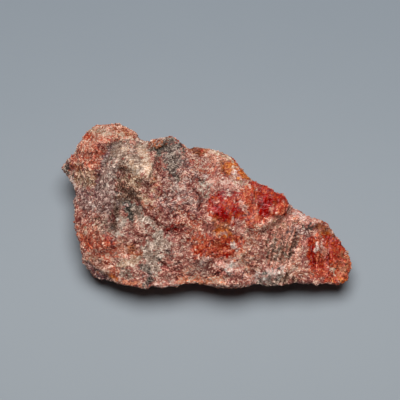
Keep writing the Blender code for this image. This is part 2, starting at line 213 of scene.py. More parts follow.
ZONES: tuple[Zone, ...] = (
    # Head lobe.
    Zone(Tint.SALMON, 2.60, 1, ((-24.7, 26.6), (-23.1, 25.4))),
    Zone(Tint.PEACH, 1.60, 1, ((-23.9, 29.0), (-22.3, 30.6), (-19.1, 31.0), (-16.7, 30.2))),
    Zone(Tint.CREAM, 0.60, 0.9, ((-23.5, 31.2), (-21.9, 30.8))),
    Zone(Tint.CREAM, 0.60, 0.8, ((-20.9, 30.6), (-19.5, 30.0))),
    Zone(Tint.RUST, 0.52, 0.8, ((-18.7, 31.6), (-16.3, 30.6), (-14.7, 29.6))),
    Zone(Tint.CREAM, 0.32, 0.9, ((-19.1, 30.8), (-16.7, 29.8), (-14.9, 29.2))),
    Zone(Tint.BRICK, 0.72, 0.9, ((-24.3, 30.0), (-23.7, 29.6))),
    Zone(Tint.SALMON, 0.72, 0.9, ((-20.7, 29.0), (-18.5, 29.6))),
    Zone(Tint.RUST, 0.80, 0.6, ((-27.3, 24.0), (-25.5, 23.6))),
    Zone(Tint.SLATE, 0.68, 0.9, ((-28.7, 25.0), (-28.5, 23.4), (-27.5, 22.0))),
    Zone(Tint.OCHRE, 1.60, 0.9, ((-25.5, 21.6), (-23.5, 21.2))),
    Zone(Tint.UMBER, 0.60, 0.5, ((-23.9, 23.0), (-22.7, 22.6))),
    Zone(Tint.FROST_AND_PAINTED_GLINT, 0.40, 0.7, ((-27.5, 21.6), (-26.5, 19.6))),
    Zone(Tint.MAROON, 0.60, 0.8, ((-21.7, 27.8), (-20.7, 26.8))),
    Zone(Tint.PLUM, 0.52, 1, HEAD_GROOVE),
    Zone(Tint.SALMON, 0.48, 0.9, ((-20.9, 26.4),)),
    # Shoulder.
    Zone(Tint.ASH, 1.60, 1, ((-17.9, 26.6), (-19.3, 24.0), (-20.1, 21.0), (-20.3, 17.6))),
    Zone(Tint.SLATE, 0.60, 0.9, ((-18.9, 26.8), (-19.1, 25.8))),
    Zone(Tint.FROST_AND_PAINTED_GLINT, 0.28, 0.9, ((-18.9, 25.2),)),
    Zone(Tint.FROST_AND_PAINTED_GLINT, 0.30, 0.9, ((-21.1, 18.8), (-21.1, 18.2))),
    Zone(Tint.MAUVE, 0.60, 0.6, ((-19.5, 20.2), (-18.7, 19.0))),
    # Middle block.
    Zone(Tint.BEIGE, 2.40, 1, ((-16.7, 27.0), (-15.1, 24.0))),
    Zone(Tint.BEIGE, 1.40, 1, ((-13.5, 27.0), (-13.1, 25.0))),
    Zone(Tint.ASH, 0.80, 0.7, ((-16.3, 27.8), (-15.3, 26.6))),
    Zone(Tint.CREAM, 1.00, 1, ((-12.9, 26.6), (-12.1, 24.2), (-11.7, 21.8))),
    Zone(Tint.CREAM, 0.80, 0.8, ((-15.1, 24.6), (-14.3, 22.8))),
    Zone(Tint.CREAM, 0.50, 0.8, ((-16.7, 27.0), (-15.9, 27.4))),
    Zone(Tint.UMBER, 0.60, 0.8, ((-17.5, 23.8), (-16.1, 23.0))),
    Zone(Tint.OCHRE, 1.40, 0.9, ((-16.3, 20.8), (-14.1, 20.6))),
    Zone(Tint.UMBER, 0.60, 0.6, ((-17.9, 21.4), (-16.7, 19.4))),
    Zone(Tint.GREY, 0.60, 0.9, ((-13.3, 28.8), (-11.9, 28.4))),
    Zone(Tint.OCHRE, 0.48, 0.6, ((-13.3, 28.8),)),
    Zone(Tint.RUST, 0.88, 1, ((-10.7, 27.8), (-8.9, 28.4))),
    Zone(Tint.SOOT, 0.28, 1, ((-11.5, 27.0), (-9.5, 27.0), (-8.3, 27.6))),
    Zone(Tint.SLATE, 1.80, 1, ((-7.9, 27.8), (-6.5, 26.6), (-7.1, 24.2))),
    Zone(Tint.SOOT, 0.52, 0.8, ((-7.1, 29.4), (-5.5, 28.4), (-4.7, 27.4))),
    Zone(Tint.SOOT, 0.44, 0.9, ((-9.5, 26.8), (-10.1, 25.2))),
    Zone(Tint.ASH, 0.50, 0.7, ((-6.3, 27.4), (-5.5, 25.4))),
    Zone(Tint.RUST, 0.30, 0.6, ((-7.9, 29.4), (-7.1, 29.6))),
    # Right of the block.
    Zone(Tint.MAROON, 0.80, 0.5, ((-9.7, 23.8), (-9.1, 21.4))),
    Zone(Tint.RUST, 0.60, 0.5, ((-9.9, 21.4), (-9.5, 19.4))),
    Zone(Tint.SLATE, 0.80, 0.7, ((-7.1, 23.0), (-6.3, 21.4))),
    Zone(Tint.FROST_AND_PAINTED_GLINT, 0.44, 0.8, ((-6.9, 21.2), (-6.1, 19.4), (-5.7, 17.0))),
    Zone(Tint.ASH, 1.00, 0.7, ((-7.1, 20.6), (-5.9, 18.2))),
    # A painted glint, in the frosty tint.
    Zone(Tint.FROST_AND_PAINTED_GLINT, 0.24, 1, ((-8.5, 18.6), (-7.3, 18.2))),
    Zone(Tint.OCHRE, 1.00, 0.7, ((-10.7, 20.2), (-10.3, 17.8))),
    # Valley.
    Zone(Tint.UMBER, 1.60, 1, ((-17.1, 19.0), (-14.7, 18.2))),
    Zone(Tint.SOOT, 1.00, 1, ((-16.1, 16.2), (-15.1, 15.4))),
    Zone(Tint.SOOT, 0.60, 1, ((-15.5, 14.6), (-15.1, 13.2))),
    Zone(Tint.SLATE, 0.80, 0.8, ((-17.9, 17.8), (-17.1, 16.6))),
    Zone(Tint.FROST_AND_PAINTED_GLINT, 0.24, 0.9, ((-16.3, 16.4), (-15.9, 15.8))),
    Zone(Tint.UMBER, 0.92, 1, ((-17.7, 17.0), (-18.5, 14.6), (-18.9, 11.8))),
    Zone(Tint.MAROON, 0.40, 0.8, ((-18.7, 14.2), (-19.1, 12.6))),
    Zone(Tint.GREY, 1.20, 1, ((-14.1, 15.0), (-12.3, 12.6), (-9.9, 9.8), (-8.3, 7.8))),
    Zone(Tint.GREY, 1.80, 1, ((-11.5, 7.0), (-10.3, 5.4), (-11.1, 3.8))),
    Zone(Tint.GREY, 1.00, 0.9, ((-17.1, 13.0), (-17.9, 10.6))),
    Zone(Tint.BEIGE, 0.60, 0.8, ((-10.3, 11.0), (-9.5, 9.4))),
    Zone(Tint.ROSE, 0.80, 0.9, ((-16.3, 10.8), (-14.9, 10.4))),
    Zone(Tint.MAROON, 0.40, 0.6, ((-15.5, 10.2),)),
    Zone(Tint.MAROON, 0.44, 0.9, ((-14.5, 9.6), (-12.1, 9.6))),
    Zone(Tint.ROSE, 0.60, 0.8, ((-12.3, 11.8), (-11.1, 10.6))),
    Zone(Tint.PEACH, 0.92, 0.9, ((-17.3, 8.4), (-17.1, 6.2))),
    Zone(Tint.RUST, 0.80, 0.9, ((-15.5, 7.2), (-13.7, 6.2))),
    Zone(Tint.CREAM, 0.80, 1, ((-17.5, 4.2), (-15.5, 4.6), (-13.9, 5.2))),
    Zone(Tint.SLATE, 1.00, 0.6, ((-12.9, 3.4), (-11.5, 1.8), (-11.9, 0.0))),
    Zone(Tint.FROST_AND_PAINTED_GLINT, 0.28, 0.8, ((-11.9, 1.6), (-10.9, 2.6))),
    Zone(Tint.BEIGE, 0.80, 0.8, ((-16.7, 2.6), (-15.5, 1.4))),
    Zone(Tint.ROSE, 0.80, 0.9, ((-14.1, 2.6), (-13.7, 1.4))),
    Zone(Tint.BRICK, 0.40, 0.7, ((-15.9, 0.6), (-14.7, 0.4))),
    # Left flank.
    Zone(Tint.MAUVE, 2.40, 1, ((-24.7, 16.8), (-21.1, 16.4))),
    Zone(Tint.PLUM, 0.80, 0.8, ((-25.5, 18.4), (-21.9, 18.0))),
    Zone(Tint.FROST_AND_PAINTED_GLINT, 0.36, 0.6, ((-23.5, 16.4), (-22.7, 15.8))),
    Zone(Tint.ROSE, 0.80, 0.8, ((-26.3, 15.4), (-25.9, 12.6))),
    Zone(Tint.SALMON, 2.60, 1, ((-23.7, 9.8), (-20.7, 7.2))),
    Zone(Tint.UMBER, 1.20, 0.6, ((-21.9, 12.8), (-19.9, 11.4))),
    Zone(Tint.BRICK, 0.80, 0.9, ((-24.9, 9.8), (-23.5, 7.8))),
    Zone(Tint.BRICK, 0.88, 0.9, ((-19.7, 9.0), (-18.9, 8.0))),
    Zone(Tint.MAROON, 0.48, 0.7, ((-19.3, 8.8), (-18.9, 7.8))),
    Zone(Tint.CREAM, 0.24, 0.9, ((-22.5, 12.4), (-22.1, 11.0))),
    Zone(Tint.CREAM, 0.24, 0.9, ((-24.7, 11.8), (-24.3, 10.0))),
    Zone(Tint.CREAM, 0.24, 0.8, ((-21.5, 11.8), (-20.7, 12.2))),
    Zone(Tint.PEACH, 0.60, 0.9, ((-23.9, 6.0), (-21.9, 5.2))),
    Zone(Tint.CREAM, 0.28, 0.7, ((-23.5, 5.6), (-22.1, 5.4))),
    Zone(Tint.SALMON, 1.30, 0.9, ((-20.3, 5.2), (-19.1, 3.0))),
    Zone(Tint.TAN, 0.80, 0.7, ((-21.5, 4.2), (-20.7, 3.0))),
    Zone(Tint.PEACH, 0.40, 0.9, ((-24.3, 5.2), (-22.1, 3.4), (-19.5, 2.0), (-17.9, 0.6))),
    Zone(Tint.AMBER, 0.48, 0.6, ((-20.1, 2.2), (-18.1, 1.2))),
    Zone(Tint.PLUM, 0.52, 1, ((-24.3, 4.6), (-21.9, 2.4), (-19.5, 0.6))),
    Zone(Tint.SAND, 0.48, 0.8, ((-17.1, 0.8), (-13.5, 0.0))),
    # Bottom middle.
    Zone(Tint.MAUVE, 1.20, 0.5, ((-7.5, 7.0), (-5.9, 5.4))),
    Zone(Tint.MAROON, 0.72, 0.8, ((-6.7, 2.8), (-5.7, 1.8))),
    Zone(Tint.MAROON, 0.60, 0.7, ((-9.3, 4.2), (-8.1, 3.2))),
    Zone(Tint.BLUSH, 0.88, 0.9, ((-10.3, 0.2), (-6.5, 0.2))),
    Zone(Tint.SAND, 0.88, 1, ((-5.1, 0.8), (-1.5, 1.2), (2.9, 1.0))),
    Zone(Tint.PEACH, 0.60, 0.7, ((-4.7, 2.6), (-2.3, 3.0))),
    Zone(Tint.RUST, 0.44, 0.6, ((-1.9, 0.4), (-0.3, 0.6))),
    # Middle.
    Zone(Tint.MAUVE, 2.40, 0.45, ((-8.3, 17.0), (-3.5, 17.0))),
    Zone(Tint.MAROON, 2.20, 0.28, ((-9.5, 17.8), (-6.3, 15.0), (-2.3, 13.8))),
    Zone(Tint.MAROON, 1.00, 0.6, ((-9.3, 15.0), (-6.9, 13.2))),
    Zone(Tint.MAROON, 0.72, 0.8, ((-12.3, 14.4), (-10.3, 13.4))),
    Zone(Tint.MAROON, 0.60, 0.9, ((-8.5, 10.8), (-6.5, 11.0), (-4.5, 11.8))),
    Zone(Tint.GARNET, 0.36, 0.7, ((-7.9, 11.4), (-5.9, 11.2))),
    Zone(Tint.MAROON, 0.32, 0.9, ((-3.7, 19.8), (-1.9, 18.0), (-1.7, 15.0))),
    Zone(Tint.MAROON, 0.40, 0.7, ((-4.7, 15.4), (-3.9, 14.6))),
    Zone(Tint.SALMON, 1.40, 0.5, ((-5.5, 13.8), (-2.3, 12.6))),
    Zone(Tint.OCHRE, 0.88, 0.9, ((-12.5, 17.4), (-11.5, 16.6))),
    Zone(Tint.PEACH, 0.36, 0.9, ((-12.9, 16.4), (-12.5, 15.8))),
    Zone(Tint.RUST, 0.60, 0.6, ((-11.5, 15.6), (-10.3, 15.0))),
    Zone(Tint.MAUVE, 1.80, 0.5, ((-4.3, 23.4), (-3.5, 21.0))),
    Zone(Tint.MAUVE, 1.20, 0.5, ((-8.7, 17.0), (-7.1, 15.8))),
    Zone(Tint.GREY, 0.88, 0.8, ((-0.9, 20.2), (-0.3, 18.4))),
    Zone(Tint.FROST_AND_PAINTED_GLINT, 0.32, 0.7, ((-0.9, 22.0), (-0.1, 21.4))),
    Zone(Tint.SOOT, 0.28, 0.8, ((-1.5, 20.8), (0.3, 19.8))),
    # Upper right.
    Zone(Tint.RUST, 0.84, 1, ((-2.7, 27.0), (-0.5, 26.4))),
    Zone(Tint.BRICK, 0.60, 0.8, ((-1.7, 26.8), (-0.5, 26.2))),
    Zone(Tint.SALMON, 1.20, 0.7, ((-2.3, 24.4), (0.7, 23.2))),
    Zone(Tint.PEACH, 1.20, 0.9, ((0.7, 25.8), (2.7, 24.8))),
    Zone(Tint.CREAM, 0.40, 0.9, ((0.7, 26.6), (3.3, 25.6), (4.7, 25.0))),
    Zone(Tint.TAN, 0.52, 0.6, ((0.5, 25.0), (2.1, 24.0))),
    Zone(Tint.RUST, 0.60, 0.8, ((2.9, 24.6), (3.3, 22.6))),
    Zone(Tint.AMBER, 1.12, 1, ((3.9, 23.8), (4.7, 22.8))),
    Zone(Tint.AMBER, 0.80, 1, ((5.3, 24.2), (6.9, 22.6), (8.3, 21.2))),
    Zone(Tint.CREAM, 0.24, 0.9, ((5.1, 23.6), (6.5, 23.0))),
    # A painted glint, in the frosty tint.
    Zone(Tint.FROST_AND_PAINTED_GLINT, 0.36, 0.9, ((5.1, 22.4), (6.1, 22.6))),
    Zone(Tint.AMBER, 0.60, 0.6, ((4.9, 20.8), (6.7, 20.8))),
    Zone(Tint.BRICK, 0.40, 0.6, ((3.5, 22.4), (4.1, 22.0))),
    Zone(Tint.BLUSH, 1.20, 0.9, ((1.3, 20.2), (4.5, 20.6), (7.9, 20.2))),
    Zone(Tint.CREAM, 0.32, 0.8, ((5.7, 20.8), (8.1, 19.8))),
    Zone(Tint.FROST_AND_PAINTED_GLINT, 0.36, 0.6, ((3.9, 19.0), (4.7, 18.0))),
    # Red glass.
    Zone(Tint.RUBY, 1.20, 0.7, ((1.1, 14.4), (3.1, 13.4))),
    Zone(Tint.RUBY, 1.40, 0.8, ((12.1, 14.6), (14.3, 14.4))),
    Zone(Tint.MAROON, 0.80, 0.35, ((2.5, 19.0), (4.5, 18.6))),
    Zone(Tint.RUBY, 2.60, 1, ((2.7, 15.8), (4.1, 14.6), (6.1, 15.8))),
    Zone(Tint.GARNET, 0.52, 0.9, ((2.7, 18.6), (2.9, 17.2))),
    Zone(Tint.GARNET, 0.96, 1, ((2.1, 15.4), (3.3, 14.0))),
    Zone(Tint.GARNET, 0.60, 0.6, ((4.9, 16.0), (6.1, 14.2))),
    Zone(Tint.BRICK, 1.80, 1, ((8.1, 17.8), (9.3, 15.8), (9.7, 13.4))),
    Zone(Tint.PEACH, 0.48, 0.7, ((9.5, 17.6), (9.9, 16.0))),
    Zone(Tint.BLUSH, 0.60, 1, ((6.7, 16.2), (7.3, 15.4))),
    Zone(Tint.RUBY, 2.60, 1, ((11.7, 17.6), (13.7, 16.6))),
    Zone(Tint.GARNET, 0.96, 1, ((12.1, 18.8), (11.9, 16.2), (11.3, 14.4))),
    Zone(Tint.RUBY, 0.68, 1, ((8.9, 20.2), (11.3, 19.0), (14.5, 17.6))),
    Zone(Tint.BRICK, 0.80, 0.8, ((15.3, 16.2), (14.7, 14.2))),
    Zone(Tint.PEACH, 0.22, 0.9, ((13.1, 16.4), (12.7, 14.2))),
    Zone(Tint.PEACH, 0.22, 0.7, ((14.5, 15.6), (13.9, 14.0))),
    Zone(Tint.SALMON, 1.00, 0.7, ((7.7, 11.8), (9.7, 10.6))),
    Zone(Tint.RUBY, 0.32, 0.9, ((7.9, 13.0), (8.3, 11.4))),
    Zone(Tint.RUBY, 0.28, 1, ((11.1, 14.0), (10.5, 11.8))),
    Zone(Tint.GARNET, 0.32, 0.8, ((11.7, 11.2), (12.1, 10.8))),
    Zone(Tint.BLUSH, 0.80, 0.7, ((5.7, 12.6), (7.1, 11.2))),
    Zone(Tint.RUST, 1.20, 0.8, ((1.9, 12.6), (3.7, 10.8))),
    # Orange-red belt.
    Zone(Tint.BRICK, 2.20, 0.9, ((-1.5, 8.0), (1.7, 7.8), (5.1, 7.6))),
    Zone(Tint.RUBY, 0.72, 0.7, ((-1.9, 6.8), (-0.3, 7.8))),
    Zone(Tint.RUBY, 0.80, 0.7, ((3.5, 9.2), (3.3, 6.8))),
    Zone(Tint.GARNET, 0.40, 0.6, ((4.1, 5.8), (2.9, 6.4))),
    Zone(Tint.AMBER, 0.80, 0.7, ((1.9, 10.6), (4.5, 10.0))),
    Zone(Tint.SALMON, 1.00, 0.6, ((-3.5, 9.8), (-2.3, 10.6))),
    Zone(Tint.FROST_AND_PAINTED_GLINT, 0.44, 0.8, ((5.1, 8.6), (5.7, 7.2))),
    Zone(Tint.PEACH, 0.60, 0.7, ((5.7, 6.6), (6.9, 6.0))),
    Zone(Tint.ROSE, 1.20, 0.8, ((-0.9, 4.6), (0.5, 3.0))),
    Zone(Tint.MAROON, 0.60, 0.6, ((1.3, 5.4), (2.3, 4.6))),
    Zone(Tint.FROST_AND_PAINTED_GLINT, 0.40, 0.7, ((-0.9, 4.6), (0.1, 5.2))),
    # Lump and the ground right of it.
    Zone(Tint.BLUSH, 1.40, 0.9, ((2.9, 3.8), (5.3, 3.4))),
    Zone(Tint.FROST_AND_PAINTED_GLINT, 0.72, 0.9, ((4.7, 4.0), (4.1, 2.8))),
    Zone(Tint.MAROON, 0.40, 0.8, ((1.5, 2.0), (3.3, 2.8))),
    Zone(Tint.SAND, 0.60, 0.8, ((6.7, 6.6), (7.3, 3.4))),
    Zone(Tint.PLUM, 0.32, 0.6, ((7.1, 2.6), (7.3, 1.2))),
    Zone(Tint.BLUSH, 0.72, 0.7, ((8.5, 1.4), (7.7, 0.2))),
    Zone(Tint.PEACH, 1.40, 0.6, ((8.9, 9.0), (8.9, 5.8), (9.3, 3.0))),
    Zone(Tint.MAROON, 0.52, 0.8, ((8.7, 4.4), (9.9, 3.8))),
    # Striated block.
    # Painted light: a pale zone over the shade of a step.
    Zone(Tint.BLUSH, 0.80, 0.8, ((12.9, 12.2), (15.9, 13.2))),
    Zone(Tint.BLUSH, 0.48, 0.7, ((19.3, 10.8), (19.5, 8.2))),
    Zone(Tint.PEACH, 0.80, 0.6, ((10.1, 11.4), (12.1, 12.2))),
    Zone(Tint.TAN, 3.00, 1, ((14.1, 9.0), (15.1, 5.8))),
    Zone(Tint.BEIGE, 1.20, 0.5, ((12.9, 9.0), (14.3, 5.8))),
    Zone(Tint.TAN, 1.20, 0.9, ((13.7, 12.6), (16.7, 11.4))),
    Zone(Tint.OCHRE, 0.80, 0.5, ((13.7, 12.6), (14.9, 11.8))),
    Zone(Tint.UMBER, 0.38, 1, ((17.9, 9.0), (17.1, 7.4), (16.3, 5.4))),
    Zone(Tint.UMBER, 0.20, 0.9, ((13.7, 9.4), (13.1, 4.6))),
    Zone(Tint.UMBER, 0.20, 0.8, ((15.3, 9.6), (14.5, 4.6))),
    Zone(Tint.UMBER, 0.20, 0.8, ((12.1, 9.0), (11.7, 5.4))),
    Zone(Tint.MAROON, 0.24, 0.7, ((12.9, 10.6), (12.1, 8.2))),
    Zone(Tint.PEACH, 0.48, 0.9, ((18.3, 9.6), (18.5, 7.0), (17.9, 4.6))),
    Zone(Tint.CREAM, 0.20, 0.7, ((16.1, 7.8), (15.3, 4.6))),
    Zone(Tint.FROST_AND_PAINTED_GLINT, 1.00, 0.9, ((10.1, 1.2), (12.1, 2.2), (14.5, 2.8))),
    Zone(Tint.GREY, 0.72, 0.9, ((10.5, 0.2), (13.5, 0.6), (15.3, 1.8))),
    Zone(Tint.SOOT, 0.24, 0.9, ((11.5, 2.6), (12.5, 1.6))),
    Zone(Tint.SOOT, 0.24, 0.8, ((13.7, 3.4), (14.7, 3.0))),
    Zone(Tint.UMBER, 0.60, 0.8, ((15.3, 0.8), (16.1, 1.8))),
    Zone(Tint.UMBER, 0.28, 0.7, ((16.5, 2.2), (17.3, 1.0))),
    Zone(Tint.BLUSH, 1.20, 1, ((17.1, 14.4), (19.7, 13.8), (21.7, 12.6))),
    Zone(Tint.FROST_AND_PAINTED_GLINT, 0.68, 0.9, ((17.9, 14.6), (19.3, 13.6))),
    Zone(Tint.SLATE, 0.60, 0.6, ((18.5, 12.0), (20.7, 11.6))),
    Zone(Tint.SOOT, 0.20, 0.8, ((19.1, 12.0), (20.9, 11.2))),
    Zone(Tint.MAROON, 0.28, 0.8, ((20.5, 14.0), (21.3, 13.6))),
    Zone(Tint.MAUVE, 1.00, 0.7, ((16.7, 11.0), (19.7, 10.4))),
    Zone(Tint.SAND, 0.40, 0.6, ((17.3, 13.2), (18.5, 12.8))),
    Zone(Tint.PEACH, 1.20, 0.8, ((16.9, 3.4), (18.9, 2.4))),
    # Narrow tip.
    Zone(Tint.BRICK, 3.20, 1, ((23.5, 7.4), (25.7, 4.6))),
    Zone(Tint.BRICK, 1.60, 1, ((21.7, 3.0), (26.9, 1.8))),
    Zone(Tint.RUST, 1.00, 0.9, ((22.5, 11.4), (24.9, 10.4))),
    Zone(Tint.AMBER, 0.40, 0.5, ((22.9, 10.6), (24.1, 10.2))),
    Zone(Tint.RUBY, 0.64, 1, ((20.7, 9.4), (20.7, 6.2), (21.3, 3.8))),
    Zone(Tint.GARNET, 0.28, 0.8, ((20.9, 7.8), (21.1, 5.0))),
    Zone(Tint.RUBY, 1.00, 0.9, ((23.7, 9.4), (24.7, 7.8), (24.5, 4.6))),
    Zone(Tint.GARNET, 0.40, 0.7, ((24.7, 9.4), (25.7, 9.0))),
    Zone(Tint.RUBY, 0.92, 0.9, ((25.9, 9.2), (26.7, 7.2))),
    Zone(Tint.RUBY, 0.60, 0.8, ((21.7, 4.4), (22.9, 3.6))),
    Zone(Tint.GARNET, 0.40, 0.7, ((24.1, 6.0), (24.1, 4.4))),
    Zone(Tint.FROST_AND_PAINTED_GLINT, 0.22, 0.9, ((21.9, 8.6), (21.7, 6.4))),
    Zone(Tint.BLUSH, 0.30, 0.9, ((22.9, 9.0), (22.7, 6.8))),
    Zone(Tint.PEACH, 0.36, 0.8, ((23.5, 7.2), (23.5, 5.6))),
    Zone(Tint.CREAM, 0.44, 0.8, ((25.1, 3.6), (24.9, 2.2))),
    Zone(Tint.RUST, 1.20, 0.7, ((27.5, 5.4), (26.7, 2.6))),
    Zone(Tint.AMBER, 0.30, 0.8, ((28.5, 5.8), (28.9, 3.4), (28.5, 1.6))),
    Zone(Tint.AMBER, 0.48, 0.6, ((25.7, 1.4), (27.3, 1.2))),
    Zone(Tint.RUBY, 0.40, 0.6, ((24.5, 1.8), (26.1, 2.8))),
)

CLOUDS: tuple[Cloud, ...] = (
    Cloud(Tint.MAUVE, 6.0, 0.52),
    Cloud(Tint.SALMON, 7.0, 0.54),
    Cloud(Tint.GREY, 5.0, 0.62),
    Cloud(Tint.BEIGE, 4.0, 0.62),
    Cloud(Tint.BRICK, 5.5, 0.62),
    Cloud(Tint.UMBER, 3.5, 0.64),
    Cloud(Tint.RUBY, 4.5, 0.67),
    Cloud(Tint.PEACH, 3.0, 0.66),
    Cloud(Tint.RUST, 3.0, 0.68),
    Cloud(Tint.FROST_AND_PAINTED_GLINT, 2.0, 0.72),
    Cloud(Tint.SOOT, 2.2, 0.73),
)

CREASES: tuple[Crease, ...] = (
    # Cracks and grooves between grains, darkened with painted shade.
    Crease(HEAD_GROOVE, 0.48, 0.45, 0.45),
    Crease(((-21.7, 27.8), (-20.7, 26.8)), 0.32, 0.35, 0.45),
    Crease(((-9.9, 26.4), (-10.5, 24.0), (-11.5, 21.0)), 0.28, 0.35, 0.4),
    Crease(((-11.5, 27.0), (-9.9, 27.0), (-8.3, 27.8)), 0.28, 0.4, 0.5),
    Crease(((-14.3, 29.2), (-13.3, 27.8), (-11.9, 27.6)), 0.32, 0.35, 0.4),
    Crease(((-13.9, 17.0), (-13.1, 15.2), (-11.5, 13.2), (-9.5, 11.8), (-7.1, 10.6)), 0.36, 0.25, 0.22),
    Crease(((-3.7, 19.8), (-1.9, 18.0), (-1.7, 15.0)), 0.28, 0.3, 0.4),
    Crease(((17.9, 9.0), (17.1, 7.4), (16.3, 5.4)), 0.32, 0.35, 0.45),
    Crease(((-17.7, 16.4), (-18.5, 14.6), (-18.9, 11.8)), 0.92, 0.25, 0.68),
    Crease(((-15.5, 14.6), (-15.1, 13.0), (-15.3, 11.4)), 0.32, 0.3, 0.4),
    Crease(((1.1, 1.8), (3.3, 2.8), (4.5, 1.6)), 0.24, 0.25, 0.35),
    Crease(((20.7, 9.4), (20.7, 6.2), (21.3, 3.8)), 0.28, 0.25, 0.3),
    Crease(((24.1, 6.2), (24.1, 4.2)), 0.24, 0.25, 0.3),
    Crease(((-12.9, 3.4), (-11.5, 1.8), (-11.9, 0.2)), 0.32, 0.3, 0.35),
    Crease(((10.9, 13.2), (12.1, 14.2), (14.5, 13.2), (16.1, 15.2)), 0.28, 0.3, 0.3),
    Crease(((-4.7, 27.4), (-4.3, 25.0), (-4.7, 22.6)), 0.28, 0.3, 0.3),
    Crease(((-17.5, 23.4), (-16.1, 22.8)), 0.24, 0.12, 0.12),
    Crease(((-14.5, 9.4), (-12.1, 9.8)), 0.24, 0.25, 0.35),
    Crease(((-8.5, 10.6), (-6.5, 11.0), (-4.5, 11.8)), 0.28, 0.25, 0.3),
    Crease(((-1.5, 20.8), (0.3, 19.6)), 0.20, 0.22, 0.3),
    Crease(((2.9, 24.6), (3.1, 22.6), (4.5, 21.4)), 0.24, 0.25, 0.3),
    Crease(((8.5, 21.0), (9.7, 19.0), (9.3, 16.2)), 0.24, 0.25, 0.25),
    Crease(((10.5, 19.0), (11.1, 16.2), (10.5, 11.8)), 0.24, 0.2, 0.2),
    Crease(((7.1, 5.8), (7.7, 3.4), (7.1, 1.0)), 0.24, 0.25, 0.25),
    Crease(((9.7, 3.4), (11.3, 2.6), (10.5, 0.6)), 0.28, 0.3, 0.35),
    Crease(((15.3, 0.2), (16.1, 2.2), (17.3, 3.0)), 0.24, 0.25, 0.35),
    Crease(((-24.3, 4.6), (-22.1, 2.8), (-19.5, 1.2)), 0.28, 0.3, 0.35),
    Crease(((-27.1, 22.6), (-24.3, 23.0), (-22.3, 22.6)), 0.24, 0.12, 0.1),
    Crease(((-26.3, 19.0), (-23.9, 18.2), (-21.9, 17.4)), 0.24, 0.12, 0.12),
    Crease(((-9.5, 4.6), (-7.9, 3.4), (-5.9, 4.2)), 0.24, 0.25, 0.25),
    # Ribs painted paler as painted light, and painted light along the front lip.
    Crease(((16.5, 16.0), (13.7, 13.8), (10.9, 11.8)), 0.90, -0.45, -0.22),
    Crease(((-17.1, 20.2), (-15.1, 17.8), (-13.1, 15.4)), 0.70, -0.2, -0.15),
    Crease(((-17.1, 0.2), (-14.7, -0.2)), 0.44, -0.05, -0.32),
    Crease(FRONT_LIP, 0.44, -0.05, -0.32),
)

PAINTED_SHADING_LINES: tuple[PaintedShadingLine, ...] = (
    # Painted light in the hollows of folds and steps, where their own shade falls.
    PaintedShadingLine(((10.9, 10.8), (12.9, 11.4), (15.3, 12.4)), 1.2, -1.25),
    PaintedShadingLine(((-2.7, 2.6), (-0.7, 3.2), (1.1, 3.4)), 1.8, -1),
    PaintedShadingLine(((4.1, 1.6), (6.9, 2.4)), 1.2, -0.55),
    PaintedShadingLine(((-24.7, 7.2), (-21.5, 6.8), (-18.3, 6.8), (-15.1, 7.0)), 1.0, -1),
    PaintedShadingLine(((-26.3, 24.2), (-23.9, 23.4)), 1.0, -0.4),
    PaintedShadingLine(((-7.9, 3.6), (-5.1, 3.0)), 1.8, -0.45),
    PaintedShadingLine(((-11.5, 22.6), (-10.7, 19.8)), 1.0, -0.4),
    PaintedShadingLine(((-20.7, 22.8), (-20.9, 20.0)), 1.0, -0.35),
    PaintedShadingLine(((-0.3, 11.8), (2.1, 11.8)), 1.2, -0.35),
    PaintedShadingLine(((19.1, 12.2), (20.1, 9.0)), 1.0, -0.45),
    # Painted shade, mostly on their crests, and along a stretch of the front lip.
    PaintedShadingLine(((-2.5, 27.0), (-1.5, 25.0), (-1.1, 23.0)), 1.4, 0.4),
    PaintedShadingLine(((-20.9, 15.0), (-20.5, 11.0)), 1.2, 0.32),
    PaintedShadingLine(((-18.5, 10.2), (-17.9, 8.4)), 1.0, 0.3),
    PaintedShadingLine(((-9.1, 22.6), (-8.3, 20.2)), 1.2, 0.3),
    PaintedShadingLine(((-9.1, 27.0), (-8.1, 25.4)), 1.0, 0.25),
    PaintedShadingLine(((-16.3, 13.0), (-15.5, 10.6)), 1.0, 0.28),
    PaintedShadingLine(((-24.3, 19.0), (-21.9, 18.6)), 1.2, 0.22),
    PaintedShadingLine(((-21.5, 31.0), (-19.5, 30.8)), 1.0, 0.2),
    PaintedShadingLine(((2.3, 19.0), (4.7, 18.8)), 1.0, 0.25),
    PaintedShadingLine(((-9.9, 14.6), (-7.5, 13.8)), 1.0, 0.28),
    PaintedShadingLine(((-0.3, -0.6), (4.5, -0.6)), 0.64, 0.45),
    PaintedShadingLine(((-5.1, 14.6), (-2.7, 13.8)), 1.0, 0.22),
)

STRIATIONS: tuple[Striation, ...] = (
    Striation((14.7, 7.8), 5.2, 3.6, 78, 0.88, 0.3, 0.62),
    Striation((22.9, 7.0), 3.6, 3.0, 87, 0.92, 0.18, 0.2),
    Striation((-23.9, 26.2), 2.8, 2.8, 72, 0.68, 0.14, 0.18),
    Striation((-23.5, 9.8), 3.6, 2.8, 58, 0.72, 0.12, 0.1),
    Striation((12.3, 16.8), 3.6, 3.0, 76, 1.00, 0.14, 0.2),
    Striation((-17.1, 25.4), 3.2, 2.8, 64, 0.84, 0.12, 0.14),
    Striation((4.1, 15.4), 2.8, 3.2, 66, 0.80, 0.09, 0.08),
)


